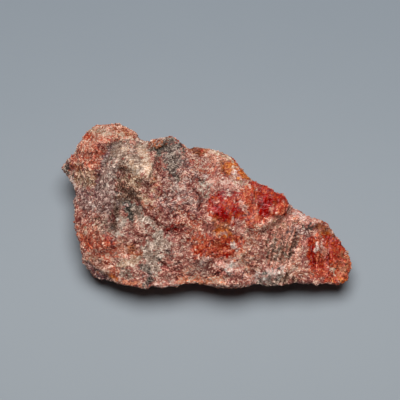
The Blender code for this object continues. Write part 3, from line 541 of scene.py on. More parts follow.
@dataclass(frozen=True)
class SlopePlane:
    """The plane that the broad face leans back on. Its own places are in millimetres."""

    slope: float = math.radians(30)
    footprint_middle: tuple[float, float, float] = (-0.3, 14.3, 0.0)
    face_middle: tuple[float, float, float] = (-1.5, 17.0, 4.0)
    seen_from: float = 350.0

    @property
    def axes(self) -> np.ndarray:
        """Rows for the directions across, uphill and outward."""
        rise, run = math.sin(self.slope), math.cos(self.slope)
        return np.array([(1.0, 0.0, 0.0), (0.0, run, rise), (0.0, -rise, run)])

    def flatten(self, places: np.ndarray) -> np.ndarray:
        """Places over the table, in metres, as across, uphill and outward in millimetres.

        Args:
            places: Rows of x, y and z.

        Returns:
            Rows of across, uphill and outward.
        """
        return (places / MM + np.array(self.footprint_middle)) @ self.axes.T

    def drawn(self, places: np.ndarray) -> np.ndarray:
        """Where places over the table fall on the drawing of the zones.

        The zones are drawn as seen from a fixed distance in front of the slope, so ground that
        stands nearer is drawn a little larger.

        Args:
            places: Rows of x, y and z in metres.

        Returns:
            Rows of across and uphill in millimetres.
        """
        middle = np.array(self.face_middle)
        offset = self.flatten(places) - middle
        nearer = self.seen_from / (self.seen_from - offset[:, 2:])
        return middle[:2] + offset[:, :2] * nearer

    def lift(self, across: float, uphill: float, outward: float) -> Vector:
        """A place on the slope plane, in millimetres, as a place over the table in metres."""
        place = np.array((across, uphill, outward)) @ self.axes - np.array(self.footprint_middle)
        return Vector(place) * MM


class Lattice:
    """Repeatable random numbers and cells on a cubic lattice.

    A facet's tilt, its stagger and how steeply it turns up past its reach are in lattice steps.
    """

    AXIS_FACTORS = (374761393, 668265263, 1442695041)
    SEED_FACTOR = 10139
    CHANNEL_FACTOR = 166452
    MIXING_FACTORS = (1274126177, 668265263)
    LOW_BITS = 0xFFFFFF
    FACET_TILT = 2.0
    FACET_STAGGER = 0.3
    FACET_TURN_UP = 3.0

    def __init__(self, seed: int) -> None:
        """Keeps the seed that tells one lattice from another."""
        self.seed = seed

    def number(self, corners: np.ndarray, channel: int) -> np.ndarray:
        """One number from 0 to 1 for each lattice corner.

        Args:
            corners: Rows of three whole numbers.
            channel: Which of the corner's numbers to give.

        Returns:
            One number for each row.
        """
        mixed = corners.astype(np.int64) @ np.array(self.AXIS_FACTORS)
        mixed = mixed + self.seed * self.SEED_FACTOR + channel * self.CHANNEL_FACTOR
        mixed = (mixed ^ (mixed >> 13)) * self.MIXING_FACTORS[0]
        mixed = (mixed ^ (mixed >> 16)) * self.MIXING_FACTORS[1]
        return ((mixed ^ (mixed >> 15)) & self.LOW_BITS) / (self.LOW_BITS + 1)

    def vector(self, corners: np.ndarray, channel: int) -> np.ndarray:
        """Three numbers from 0 to 1 for each lattice corner."""
        return np.stack([self.number(corners, channel + axis) for axis in range(3)], axis=1)

    def cloud(self, places: np.ndarray, channel: int, layers: int = 3) -> np.ndarray:
        """A soft cloud through space, of some layers, each half as large as the one before.

        Args:
            places: Rows of x, y and z in lattice steps.
            channel: Which cloud to give.
            layers: How many layers to add.

        Returns:
            One number from 0 to 1 for each row.
        """
        total = np.zeros(len(places))
        weights = 0.0
        for layer in range(layers):
            spread = places * 2**layer
            base = np.floor(spread)
            along = smooth(spread - base)
            for step in product((0, 1), repeat=3):
                share = np.prod(np.where(step, along, 1 - along), axis=1)
                total += share * self.number(base + step, channel + layer) / 2**layer
            weights += 1 / 2**layer
        return total / weights

    def cells(self, places: np.ndarray) -> tuple[np.ndarray, np.ndarray]:
        """The cell that each place is in.

        Args:
            places: Rows of x, y and z in lattice steps.

        Returns:
            The lattice corner of each place's cell, and its offset from the cell's middle.
        """
        base = np.floor(places)
        nearest = np.full(len(places), np.inf)
        corners = np.zeros_like(places)
        offsets = np.zeros_like(places)
        for step in product((-1, 0, 1), repeat=3):
            corner = base + step
            offset = places - corner - self.vector(corner, Draw.MIDDLE)
            gap = np.linalg.norm(offset, axis=1)
            nearer = gap < nearest
            nearest = np.where(nearer, gap, nearest)
            corners[nearer] = corner[nearer]
            offsets[nearer] = offset[nearer]
        return corners, offsets

    def facets(self, places: np.ndarray, channel: int, reach: float = 0.75) -> np.ndarray:
        """Crisp facets: the lowest of tilted planes, each of which ends past its own cell.

        Args:
            places: Rows of x, y and z in lattice steps.
            channel: Which facets to give.
            reach: How far a facet runs from its middle before it turns up.

        Returns:
            One rise for each row, about 0.
        """
        base = np.floor(places)
        lowest = np.full(len(places), np.inf)
        for step in product((-1, 0, 1), repeat=3):
            corner = base + step
            offset = places - corner - self.vector(corner, Draw.MIDDLE)
            tilt = self.vector(corner, channel) - 0.5
            past = np.maximum(0.0, np.linalg.norm(offset, axis=1) - reach)
            rise = self.FACET_TILT * (offset * tilt).sum(1)
            rise = rise + self.FACET_STAGGER * self.number(corner, channel + 3)
            lowest = np.minimum(lowest, rise + self.FACET_TURN_UP * past)
        return lowest


def path_gap(flat: np.ndarray, path: Path) -> np.ndarray:
    """Distance of each place on the slope plane to a path.

    Args:
        flat: Rows of across and uphill.
        path: The path's corners.

    Returns:
        One distance for each row, in the rows' own unit.
    """
    corners = np.array(path)
    gap = np.full(len(flat), np.inf)
    for start, end in zip(corners, corners[1:] if len(corners) > 1 else corners):
        run = end - start
        along = np.clip((flat - start) @ run / max(run @ run, 1e-9), 0.0, 1.0)
        gap = np.minimum(gap, np.linalg.norm(flat - start - along[:, None] * run, axis=1))
    return gap


def vectors(items: Items, attribute: str) -> np.ndarray:
    """A mesh's vectors as an array.

    Args:
        items: The mesh's vertices or normals.
        attribute: Which of their vectors to read.

    Returns:
        Rows of x, y and z.
    """
    values = np.zeros(len(items) * 3)
    items.foreach_get(attribute, values)
    return values.reshape(-1, 3)


def evaluated(piece: bpy.types.Object, name: str) -> bpy.types.Object:
    """A plain mesh object made of another's evaluated shape, which it takes the place of.

    Args:
        piece: The object with its modifiers.
        name: What to call the new object.

    Returns:
        The new object, at the origin and linked to the scene.
    """
    graph = bpy.context.evaluated_depsgraph_get()
    mesh = bpy.data.meshes.new_from_object(piece.evaluated_get(graph))
    bpy.data.objects.remove(piece)
    mesh.name = name
    made = bpy.data.objects.new(name, mesh)
    bpy.context.scene.collection.objects.link(made)
    return made


def triangle_count(piece: bpy.types.Object) -> int:
    """How many triangles a mesh object has."""
    return sum(len(face.vertices) - 2 for face in piece.data.polygons)


class Canvas:
    """Lays out and joins the nodes of one tree.

    A Mix node names its sockets alike for numbers, vectors and colours, so they go by number.
    """

    COLUMN_WIDTH = 180
    ROW_HEIGHT = 260
    NODES_IN_ROW = 8
    MIX_INPUTS = (0, 6, 7)
    MIX_OUTPUT = 2

    def __init__(self, tree: bpy.types.NodeTree) -> None:
        """Keeps the tree to work on."""
        self.tree = tree

    def node(self, kind: str, feeds: Feeds | None = None, **settings: Any) -> bpy.types.Node:
        """Adds a node, sets its properties and feeds its inputs.

        Args:
            kind: The node's type name.
            feeds: What to feed its inputs, as for feed.
            settings: Its properties by name.

        Returns:
            The node.
        """
        node = self.tree.nodes.new(kind)
        row, column = divmod(len(self.tree.nodes), self.NODES_IN_ROW)
        node.location = (self.COLUMN_WIDTH * column, -self.ROW_HEIGHT * row)
        for name, value in settings.items():
            setattr(node, name, value)
        self.feed(node, feeds or {})
        return node

    def feed(self, node: bpy.types.Node, feeds: Feeds) -> None:
        """Gives some of a node's inputs their values.

        Args:
            node: The node.
            feeds: For each input, by its name or its number, an output to link or a plain value.
        """
        for name, value in feeds.items():
            if isinstance(value, Socket):
                self.tree.links.new(value, node.inputs[name])
            else:
                node.inputs[name].default_value = value

    def math(self, operation: str, *values: Value, clamp: bool = False) -> Socket:
        """Adds a Math node.

        Args:
            operation: What it works out.
            values: Its inputs, as outputs of other nodes or plain numbers.
            clamp: Whether to keep the result from 0 to 1.

        Returns:
            Its output.
        """
        feeds = dict(enumerate(values))
        return self.node("ShaderNodeMath", feeds, operation=operation, use_clamp=clamp).outputs[0]

    def vector_math(self, operation: str, *values: Value, scale: Value | None = None) -> Socket:
        """Adds a Vector Math node.

        Args:
            operation: What it works out.
            values: Its vector inputs, as outputs of other nodes or plain vectors.
            scale: Its Scale input, where the operation has one.

        Returns:
            Its vector output.
        """
        feeds = dict(enumerate(values))
        if scale is not None:
            feeds["Scale"] = scale
        return self.node("ShaderNodeVectorMath", feeds, operation=operation).outputs["Vector"]

    def ramp(self, value: Value, low: float, high: float) -> Socket:
        """Adds a Map Range node that eases a value in and out.

        Args:
            value: The value.
            low: The mark at which it is 0, and below.
            high: The mark at which it is 1, and above.

        Returns:
            Its output.
        """
        feeds = {"Value": value, "From Min": low, "From Max": high}
        node = self.node("ShaderNodeMapRange", feeds, interpolation_type="SMOOTHSTEP")
        return node.outputs["Result"]

    def mix(self, share: Value, first: Value, second: Value, blend: str = "MIX") -> Socket:
        """Adds a Mix node for colours.

        Args:
            share: How much of the second colour shows.
            first: The first colour.
            second: The second colour.
            blend: How the colours meet.

        Returns:
            Its colour output.
        """
        feeds = dict(zip(self.MIX_INPUTS, (share, first, second)))
        node = self.node("ShaderNodeMix", feeds, data_type="RGBA", blend_type=blend)
        return node.outputs[self.MIX_OUTPUT]

    def noise(self, place: Value, scale: float, detail: float) -> bpy.types.Node:
        """Adds a noise through space, of a scale and a number of finer layers."""
        feeds = {"Vector": place, "Scale": scale, "Detail": detail}
        return self.node("ShaderNodeTexNoise", feeds, noise_dimensions="3D")

    def attribute(self, name: str, output: str) -> Socket:
        """One output of a node that reads an attribute of the piece."""
        return self.node("ShaderNodeAttribute", attribute_name=name).outputs[output]


class Effects:
    """The shader effects that the stone and its loose grains share, as node groups.

    Scales are per millimetre. A grain's speckle is dark below the first pair of marks, bright above
    the second pair, and the mineral's own colour between them. The bright grains are partly pale
    grains of the mineral and partly painted glints.
    """

    RAGGED_SCALE = 2.2
    RAGGED_DETAIL = 2.0
    PATCH_SCALE = 0.55
    PATCH_DETAIL = 3.0
    COARSE_IN_SPECKLE = 0.25
    COARSE_IN_HEIGHT = 0.6
    FLAKE_DOMING = 0.5
    FLAKE_IN_TILT = 0.45
    DARK_TO_BODY = (0.0, 0.30)
    BODY_TO_LIGHT = (0.70, 0.98)
    MIDDLE = (0.5, 0.5, 0.5)

    def __init__(self) -> None:
        """Builds each group once."""
        self.sugar = self.sugary_grain()
        self.mineral = self.mineral_colour()

    @staticmethod
    def new_group(
        name: str, inputs: dict[str, str], outputs: dict[str, str]
    ) -> tuple[Canvas, Items, bpy.types.Node]:
        """Starts a node group.

        Args:
            name: Its name.
            inputs: Its inputs' socket types by name.
            outputs: Its outputs' socket types by name.

        Returns:
            A canvas to work on the group, its input node's outputs, and its output node.
        """
        group = bpy.data.node_groups.new(name, "ShaderNodeTree")
        for way, sockets in (("INPUT", inputs), ("OUTPUT", outputs)):
            for socket, kind in sockets.items():
                group.interface.new_socket(socket, in_out=way, socket_type=f"NodeSocket{kind}")
        canvas = Canvas(group)
        return canvas, canvas.node("NodeGroupInput").outputs, canvas.node("NodeGroupOutput")

    @staticmethod
    def cells(canvas: Canvas, place: Value, per_mm: Value) -> tuple[bpy.types.Node, Items]:
        """Adds cells of random colour.

        Args:
            canvas: The group to add them to.
            place: Where the surface point is, in millimetres.
            per_mm: How many cells stand in a millimetre.

        Returns:
            The node of the cells, and their colour's three parts as numbers.
        """
        feeds = {"Vector": place, "Scale": per_mm}
        cells = canvas.node("ShaderNodeTexVoronoi", feeds, voronoi_dimensions="3D", feature="F1")
        return cells, canvas.node("ShaderNodeSeparateColor", {0: cells.outputs["Color"]}).outputs

    def sugary_grain(self) -> bpy.types.NodeTree:
        """Interlocking grains split into slim flakes that lie a different way in each grain.

        Returns:
            The group.
        """
        canvas, given, asked = self.new_group(
            "sugary grain",
            {
                "Vector": "Vector",
                "Coarse Grains per mm": "Float",
                "Flakes per mm": "Float",
                "Flake Slimness": "Float",
                "Raggedness": "Float",
                "Contrast": "Float",
                "Brightness": "Float",
                "Mottle": "Float",
                "Facet Tilt": "Float",
            },
            {"Speckle": "Float", "Height": "Float", "Facet": "Vector"},
        )
        ragged = canvas.noise(given["Vector"], self.RAGGED_SCALE, self.RAGGED_DETAIL)
        shift = canvas.vector_math("SUBTRACT", ragged.outputs["Color"], self.MIDDLE)
        shift = canvas.vector_math("SCALE", shift, scale=given["Raggedness"])
        place = canvas.vector_math("ADD", given["Vector"], shift)
        coarse, coarse_parts = self.cells(canvas, place, given["Coarse Grains per mm"])

        turn = canvas.vector_math("SCALE", coarse.outputs["Color"], scale=math.tau)
        feeds = {"Vector": place, "Rotation": turn}
        turned = canvas.node("ShaderNodeVectorRotate", feeds, rotation_type="EULER_XYZ")
        feeds = {"X": 1.0, "Y": 1.0, "Z": given["Flake Slimness"]}
        slim = canvas.node("ShaderNodeCombineXYZ", feeds)
        flakes = canvas.vector_math("MULTIPLY", turned.outputs["Vector"], slim.outputs["Vector"])
        fine, fine_parts = self.cells(canvas, flakes, given["Flakes per mm"])

        shade = canvas.math("MULTIPLY", coarse_parts[0], self.COARSE_IN_SPECKLE)
        shade = canvas.math("MULTIPLY_ADD", fine_parts[0], 1 - self.COARSE_IN_SPECKLE, shade)
        shade = canvas.math("SUBTRACT", shade, 0.5)
        patches = canvas.noise(given["Vector"], self.PATCH_SCALE, self.PATCH_DETAIL)
        patch = canvas.math("SUBTRACT", patches.outputs[0], 0.5)
        level = canvas.math("MULTIPLY_ADD", patch, given["Mottle"], given["Brightness"])
        shade = canvas.math("MULTIPLY_ADD", shade, given["Contrast"], level, clamp=True)

        height = canvas.math("MULTIPLY", coarse_parts[1], self.COARSE_IN_HEIGHT)
        height = canvas.math("MULTIPLY_ADD", fine_parts[1], 1 - self.COARSE_IN_HEIGHT, height)
        height = canvas.math("MULTIPLY_ADD", fine.outputs["Distance"], -self.FLAKE_DOMING, height)
        tilt = canvas.mix(self.FLAKE_IN_TILT, coarse.outputs["Color"], fine.outputs["Color"])
        tilt = canvas.vector_math("SUBTRACT", tilt, self.MIDDLE)
        tilt = canvas.vector_math("SCALE", tilt, scale=given["Facet Tilt"])
        canvas.feed(asked, {"Speckle": shade, "Height": height, "Facet": tilt})
        return canvas.tree

    def mineral_colour(self) -> bpy.types.NodeTree:
        """The colour of a grain: dark, middling or bright by its speckle, times painted light and
        shade.

        Returns:
            The group.
        """
        canvas, given, asked = self.new_group(
            "mineral colour",
            {"Speckle": "Float", "Dark": "Color", "Body": "Color", "Light": "Color", "Painted Shading": "Float"},
            {"Color": "Color"},
        )
        lit = canvas.ramp(given["Speckle"], *self.DARK_TO_BODY)
        bright = canvas.ramp(given["Speckle"], *self.BODY_TO_LIGHT)
        colour = canvas.mix(lit, given["Dark"], given["Body"])
        colour = canvas.mix(bright, colour, given["Light"])
        # The painted light and shade multiplies the grain's colour.
        painted_shading = canvas.node("ShaderNodeCombineColor", dict.fromkeys(range(3), given["Painted Shading"]))
        with_painted_shading = canvas.mix(1.0, colour, painted_shading.outputs[0], "MULTIPLY")
        canvas.feed(asked, {"Color": with_painted_shading})
        return canvas.tree


@dataclass(frozen=True)
class BrokenFinish:
    """A broken mineral surface, coloured by the ground that each vertex stands on.

    The bump is in millimetres. Bright flakes are smoother than dark ones, by the roughness spread.
    """

    name: str
    coarse_per_mm: float
    flakes_per_mm: float
    slimness: float
    raggedness: float
    contrast: float
    brightness: float
    mottle: float
    facet_tilt: float
    bump: float
    gloss: float
    index_of_refraction: float = 1.52
    roughness_spread: float = 0.2

    def material(self, effects: Effects) -> bpy.types.Material:
        """Builds the material.

        Args:
            effects: The shared node groups.

        Returns:
            The material.
        """
        material = bpy.data.materials.new(self.name)
        material.use_nodes = True
        canvas = Canvas(material.node_tree)
        shader = material.node_tree.nodes["Principled BSDF"]
        place = canvas.node("ShaderNodeTexCoord").outputs["Object"]
        place = canvas.vector_math("SCALE", place, scale=1 / MM)
        sugar = canvas.node(
            "ShaderNodeGroup",
            {
                "Vector": place,
                "Coarse Grains per mm": self.coarse_per_mm,
                "Flakes per mm": self.flakes_per_mm,
                "Flake Slimness": self.slimness,
                "Raggedness": self.raggedness,
                "Contrast": self.contrast,
                "Brightness": self.brightness,
                "Mottle": self.mottle,
                "Facet Tilt": self.facet_tilt,
            },
            node_tree=effects.sugar,
        ).outputs
        mineral = canvas.node(
            "ShaderNodeGroup",
            {
                "Speckle": sugar["Speckle"],
                "Dark": canvas.attribute("grain_dark", "Color"),
                "Body": canvas.attribute("grain_body", "Color"),
                "Light": canvas.attribute("grain_light", "Color"),
                "Painted Shading": canvas.attribute("grain_painted_shading", "Fac"),
            },
            node_tree=effects.mineral,
        )
        half_spread = self.roughness_spread / 2
        spread = canvas.math("MULTIPLY_ADD", sugar["Speckle"], -self.roughness_spread, half_spread)
        rough = canvas.math("ADD", canvas.attribute("grain_roughness", "Fac"), spread, clamp=True)
        bump = canvas.node("ShaderNodeBump", {"Distance": self.bump * MM, "Height": sugar["Height"]})
        normal = canvas.vector_math("ADD", bump.outputs["Normal"], sugar["Facet"])
        canvas.feed(
            shader,
            {
                "Base Color": mineral.outputs["Color"],
                "Roughness": rough,
                "Normal": canvas.vector_math("NORMALIZE", normal),
                "IOR": self.index_of_refraction,
                "Specular IOR Level": self.gloss,
            },
        )
        return material


@dataclass
class StoneBody:
    """The stone's fine surface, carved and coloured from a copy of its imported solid.

    Sizes are in millimetres. How squarely the surface faces outward from the slope runs from -1 to
    1: the carving eases in from carved_from, and the zones take over from the clouds at zones_from.
    A zone's share eases from full to none between two multiples of its half width.
    """

    solid: bpy.types.Object
    plane: SlopePlane
    merge_gap: float = 0.0001
    voxel: float = 0.24
    chips: tuple[Chips, ...] = (Chips(2.0, 0.16, 20), Chips(1.0, 0.12, 30), Chips(0.55, 0.07, 40))
    foot: float = 0.5
    carved_from: float = 0.05
    carved_fade: float = 0.3
    # How much paler each millimetre of rise is painted, and the range of that painted light and shade.
    painted_shading_of_rise: float = 0.9
    painted_shading_range: tuple[float, float] = (0.35, 1.3)
    ridge_back: float = 0.7
    ridge_waver: float = 1.6
    waver_size: tuple[float, float] = (3.0, 1.2)
    patch_edge: tuple[float, float] = (0.8, 1.2)
    grain: float = 0.50
    grain_waver: float = 0.24
    brightest: float = 0.95
    toward_middle: float = 0.5
    border_spread: float = 0.32
    cloud_raggedness: float = 0.08
    zones_from: float = 0.25
    zones_waver: float = 0.15
    zone_edge: tuple[float, float] = (0.6, 1.35)
    largest_share: float = 0.96
    name: str = "broken_stone"

    def __post_init__(self) -> None:
        """Sets up the random numbers of the carving and of the colouring."""
        self.lattice = Lattice(seed=7)

    def fine_copy(self) -> bpy.types.Object:
        """A copy of the solid with its corners merged, remeshed fine.

        Returns:
            The copy.
        """
        mesh = self.solid.data.copy()
        merged = bmesh.new()
        merged.from_mesh(mesh)
        bmesh.ops.remove_doubles(merged, verts=merged.verts, dist=self.merge_gap * MM)
        merged.to_mesh(mesh)
        merged.free()
        rough = bpy.data.objects.new(self.name, mesh)
        bpy.context.scene.collection.objects.link(rough)
        remesh = rough.modifiers.new("fine", "REMESH")
        remesh.mode = "VOXEL"
        remesh.voxel_size = self.voxel * MM
        return evaluated(rough, self.name)

    def carve(self, stone: bpy.types.Object) -> tuple[np.ndarray, np.ndarray]:
        """Cuts chips, creases and striations into the fine surface, and paints light and shade by them.

        Args:
            stone: The fine copy, which is changed.

        Returns:
            Each vertex's painted light and shade, and how squarely each faces outward from the slope.
        """
        mesh = stone.data
        places = vectors(mesh.vertices, "co")
        normals = vectors(mesh.vertex_normals, "vector")
        facing = normals @ self.plane.axes[2]
        flat = self.plane.drawn(places)
        front = smooth((facing - self.carved_from) / self.carved_fade)

        rise = np.zeros(len(places))
        for chips in self.chips:
            facets = self.lattice.facets(places / MM / chips.size, chips.channel)
            rise += chips.rise * (facets - facets.mean())
        # Raised chips are painted paler and sunk ones darker, as painted light and shade.
        painted_shading = 1 + self.painted_shading_of_rise * rise
        # Creases and shading lines paint shade along their paths; a negative shade paints light
        # instead.
        for line in (*CREASES, *PAINTED_SHADING_LINES):
            cut = front * smooth(1 - path_gap(flat, line.path) / (2 * line.half_width))
            painted_shading *= 1 - line.shade * cut
            if isinstance(line, Crease):
                rise -= line.depth * cut
        # Striations paint light on their ridges and shade in the grooves between them.
        for patch in STRIATIONS:
            ridge, reach = self.ridges(flat, patch)
            rise += patch.depth * (ridge - 0.5) * reach * front
            painted_shading *= 1 + 2 * patch.shade * (ridge - 0.5) * reach * front
        grounded = smooth(places[:, 2] / MM / self.foot)
        places = places + normals * (rise * grounded * MM)[:, None]
        mesh.vertices.foreach_set("co", places.ravel())
        mesh.update()
        return np.clip(painted_shading, *self.painted_shading_range), facing

    def ridges(self, flat: np.ndarray, patch: Striation) -> tuple[np.ndarray, np.ndarray]:
        """Parallel ridges that waver, and how far each place is inside their patch.

        Args:
            flat: Rows of across and uphill in millimetres.
            patch: The striated patch.

        Returns:
            The ridges' height from 0 to 1, and the patch's reach from 0 to 1.
        """
        turn = math.radians(patch.turn)
        offset = flat - np.array(patch.middle)
        along = offset @ np.array((math.cos(turn), math.sin(turn)))
        beside = offset @ np.array((-math.sin(turn), math.cos(turn)))
        inner, outer = self.patch_edge
        gap = np.hypot(along / patch.half_length, beside / patch.half_width)
        reach = smooth((outer - gap) / (outer - inner))
        waver = np.column_stack([along, beside, np.zeros(len(flat))]) / (*self.waver_size, 1.0)
        beside = beside / patch.pitch + self.ridge_waver * self.lattice.cloud(waver, Draw.WAVER)
        step = beside - np.floor(beside)
        back = self.ridge_back
        return np.where(step < back, step / back, (1 - step) / (1 - back)), reach

    def tints(self, stone: bpy.types.Object, facing: np.ndarray) -> tuple[np.ndarray, np.ndarray]:
        """Which tint each vertex takes, grain by grain.

        A grain reads the zones at a place of its own near its middle, and takes a zone's tint
        where its own random number falls within the zone's share, so borders interlock.

        Args:
            stone: The carved surface.
            facing: How squarely each vertex faces outward from the slope.

        Returns:
            The place of each vertex's tint among the tints, and its grain's lattice corner.
        """
        places = vectors(stone.data.vertices, "co")
        corners, offsets = self.lattice.cells(places / MM / self.grain)
        spread = (self.lattice.vector(corners, Draw.SPREAD) - 0.5) * 2 * self.border_spread
        sampled = places + (spread - offsets * self.grain * self.toward_middle) * MM
        flat = self.plane.drawn(sampled)
        order = list(Tint)
        chosen = np.full(len(places), order.index(Tint.ROSE))
        for number, cloud in enumerate(CLOUDS):
            field = self.lattice.cloud(sampled / MM / cloud.size, Draw.CLOUD + Draw.EACH_CLOUD * number)
            ragged = self.lattice.number(corners, Draw.CLOUD_EDGE + number) - 0.5
            chosen[field + self.cloud_raggedness * ragged > cloud.threshold] = order.index(cloud.tint)
        waver = self.lattice.number(corners, Draw.EDGE) - 0.5
        front = facing + self.zones_waver * waver > self.zones_from
        chosen[front] = order.index(Tint.ROSE)
        inner, outer = self.zone_edge
        for number, zone in enumerate(ZONES):
            gap = path_gap(flat, zone.path) / zone.half_width
            share = self.largest_share * zone.share * smooth((outer - gap) / (outer - inner))
            taken = front & (share > self.lattice.number(corners, Draw.ZONE + number))
            chosen[taken] = order.index(zone.tint)
        return chosen, corners

    def colour(self, stone: bpy.types.Object, painted_shading: np.ndarray, facing: np.ndarray) -> None:
        """Writes the grains' colours, painted light and shade, and roughness to the mesh.

        Args:
            stone: The carved surface.
            painted_shading: The painted light and shade of each vertex.
            facing: How squarely each vertex faces outward from the slope.
        """
        chosen, corners = self.tints(stone, facing)
        varied = 1 + self.grain_waver * (self.lattice.number(corners, Draw.TONE) - 0.5)
        for shade in ("dark", "body", "light"):
            table = np.array([(*getattr(tint.value, shade), 1.0) for tint in Tint])
            colours = table[chosen]
            colours[:, :3] = np.clip(colours[:, :3] * varied[:, None], 0.0, self.brightest)
            layer = stone.data.attributes.new(f"grain_{shade}", "FLOAT_COLOR", "POINT")
            layer.data.foreach_set("color", colours.ravel())
        roughness = np.array([tint.value.roughness for tint in Tint])[chosen]
        for name, values in (("grain_painted_shading", painted_shading), ("grain_roughness", roughness)):
            layer = stone.data.attributes.new(name, "FLOAT", "POINT")
            layer.data.foreach_set("value", values)

    def build(self, material: bpy.types.Material) -> bpy.types.Object:
        """Makes the finished stone.

        Args:
            material: What it is dressed in.

        Returns:
            The stone.
        """
        stone = self.fine_copy()
        painted_shading, facing = self.carve(stone)
        self.colour(stone, painted_shading, facing)
        stone.data.materials.clear()
        stone.data.materials.append(material)
        stone.data.shade_smooth()
        return stone


@dataclass
class CleavageGrains:
    """Small angular grains that stand half sunk in the stone, in its own colours.

    Sizes are in millimetres, and the lean is in radians.
    """

    name: str
    per_square_mm: float
    smallest: tuple[float, float, float]
    largest: tuple[float, float, float]
    lean: float
    seed: int
    turn_seed: int = 3

    def tree(self, material: bpy.types.Material) -> bpy.types.NodeTree:
        """The tree that scatters the grains over whatever surface it is given.

        Args:
            material: What the grains are dressed in.

        Returns:
            The tree.
        """
        tree = bpy.data.node_groups.new(self.name, "GeometryNodeTree")
        for socket, kind in (
            ("Surface", "NodeSocketGeometry"),
            ("Grains per square metre", "NodeSocketFloat"),
            ("Smallest Grain", "NodeSocketVector"),
            ("Largest Grain", "NodeSocketVector"),
            ("Seed", "NodeSocketInt"),
        ):
            tree.interface.new_socket(socket, in_out="INPUT", socket_type=kind)
        tree.interface.new_socket("Grains", in_out="OUTPUT", socket_type="NodeSocketGeometry")
        canvas = Canvas(tree)
        given = canvas.node("NodeGroupInput").outputs
        points = canvas.node(
            "GeometryNodeDistributePointsOnFaces",
            {
                "Mesh": given["Surface"],
                "Density": given["Grains per square metre"],
                "Seed": given["Seed"],
            },
        ).outputs
        shape = canvas.node("GeometryNodeMeshCube", {"Size": (1.0, 1.0, 1.0)})
        lean = canvas.node(
            "FunctionNodeRandomValue",
            {
                "Min": (-self.lean, -self.lean, 0.0),
                "Max": (self.lean, self.lean, math.tau),
                "Seed": self.turn_seed,
            },
            data_type="FLOAT_VECTOR",
        )
        turn = canvas.node(
            "FunctionNodeRotateRotation",
            {"Rotation": points["Rotation"], "Rotate By": lean.outputs["Value"]},
            rotation_space="LOCAL",
        )
        size = canvas.node(
            "FunctionNodeRandomValue",
            {"Min": given["Smallest Grain"], "Max": given["Largest Grain"], "Seed": given["Seed"]},
            data_type="FLOAT_VECTOR",
        )
        grains = canvas.node(
            "GeometryNodeInstanceOnPoints",
            {
                "Points": points["Points"],
                "Instance": shape.outputs["Mesh"],
                "Rotation": turn.outputs["Rotation"],
                "Scale": size.outputs["Value"],
            },
        )
        feeds = {"Geometry": grains.outputs["Instances"]}
        real = canvas.node("GeometryNodeRealizeInstances", feeds)
        feeds = {"Geometry": real.outputs["Geometry"], "Shade Smooth": False}
        flat = canvas.node("GeometryNodeSetShadeSmooth", feeds)
        feeds = {"Geometry": flat.outputs["Geometry"], "Material": material}
        dressed = canvas.node("GeometryNodeSetMaterial", feeds)
        canvas.node("NodeGroupOutput", {"Grains": dressed.outputs["Geometry"]})
        return tree

    def build(self, stone: bpy.types.Object, material: bpy.types.Material) -> bpy.types.Object:
        """Scatters the grains over the stone.

        Args:
            stone: The surface that they stand in.
            material: What they are dressed in.

        Returns:
            The grains as one mesh object.
        """
        ground = bpy.data.objects.new(self.name, stone.data.copy())
        bpy.context.scene.collection.objects.link(ground)
        scatter = ground.modifiers.new("scatter", "NODES")
        scatter.node_group = self.tree(material)
        values = {
            "Grains per square metre": self.per_square_mm / MM**2,
            "Smallest Grain": tuple(side * MM for side in self.smallest),
            "Largest Grain": tuple(side * MM for side in self.largest),
            "Seed": self.seed,
        }
        for socket in scatter.node_group.interface.items_tree:
            if socket.name in values:
                scatter[socket.identifier] = values[socket.name]
        return evaluated(ground, self.name)


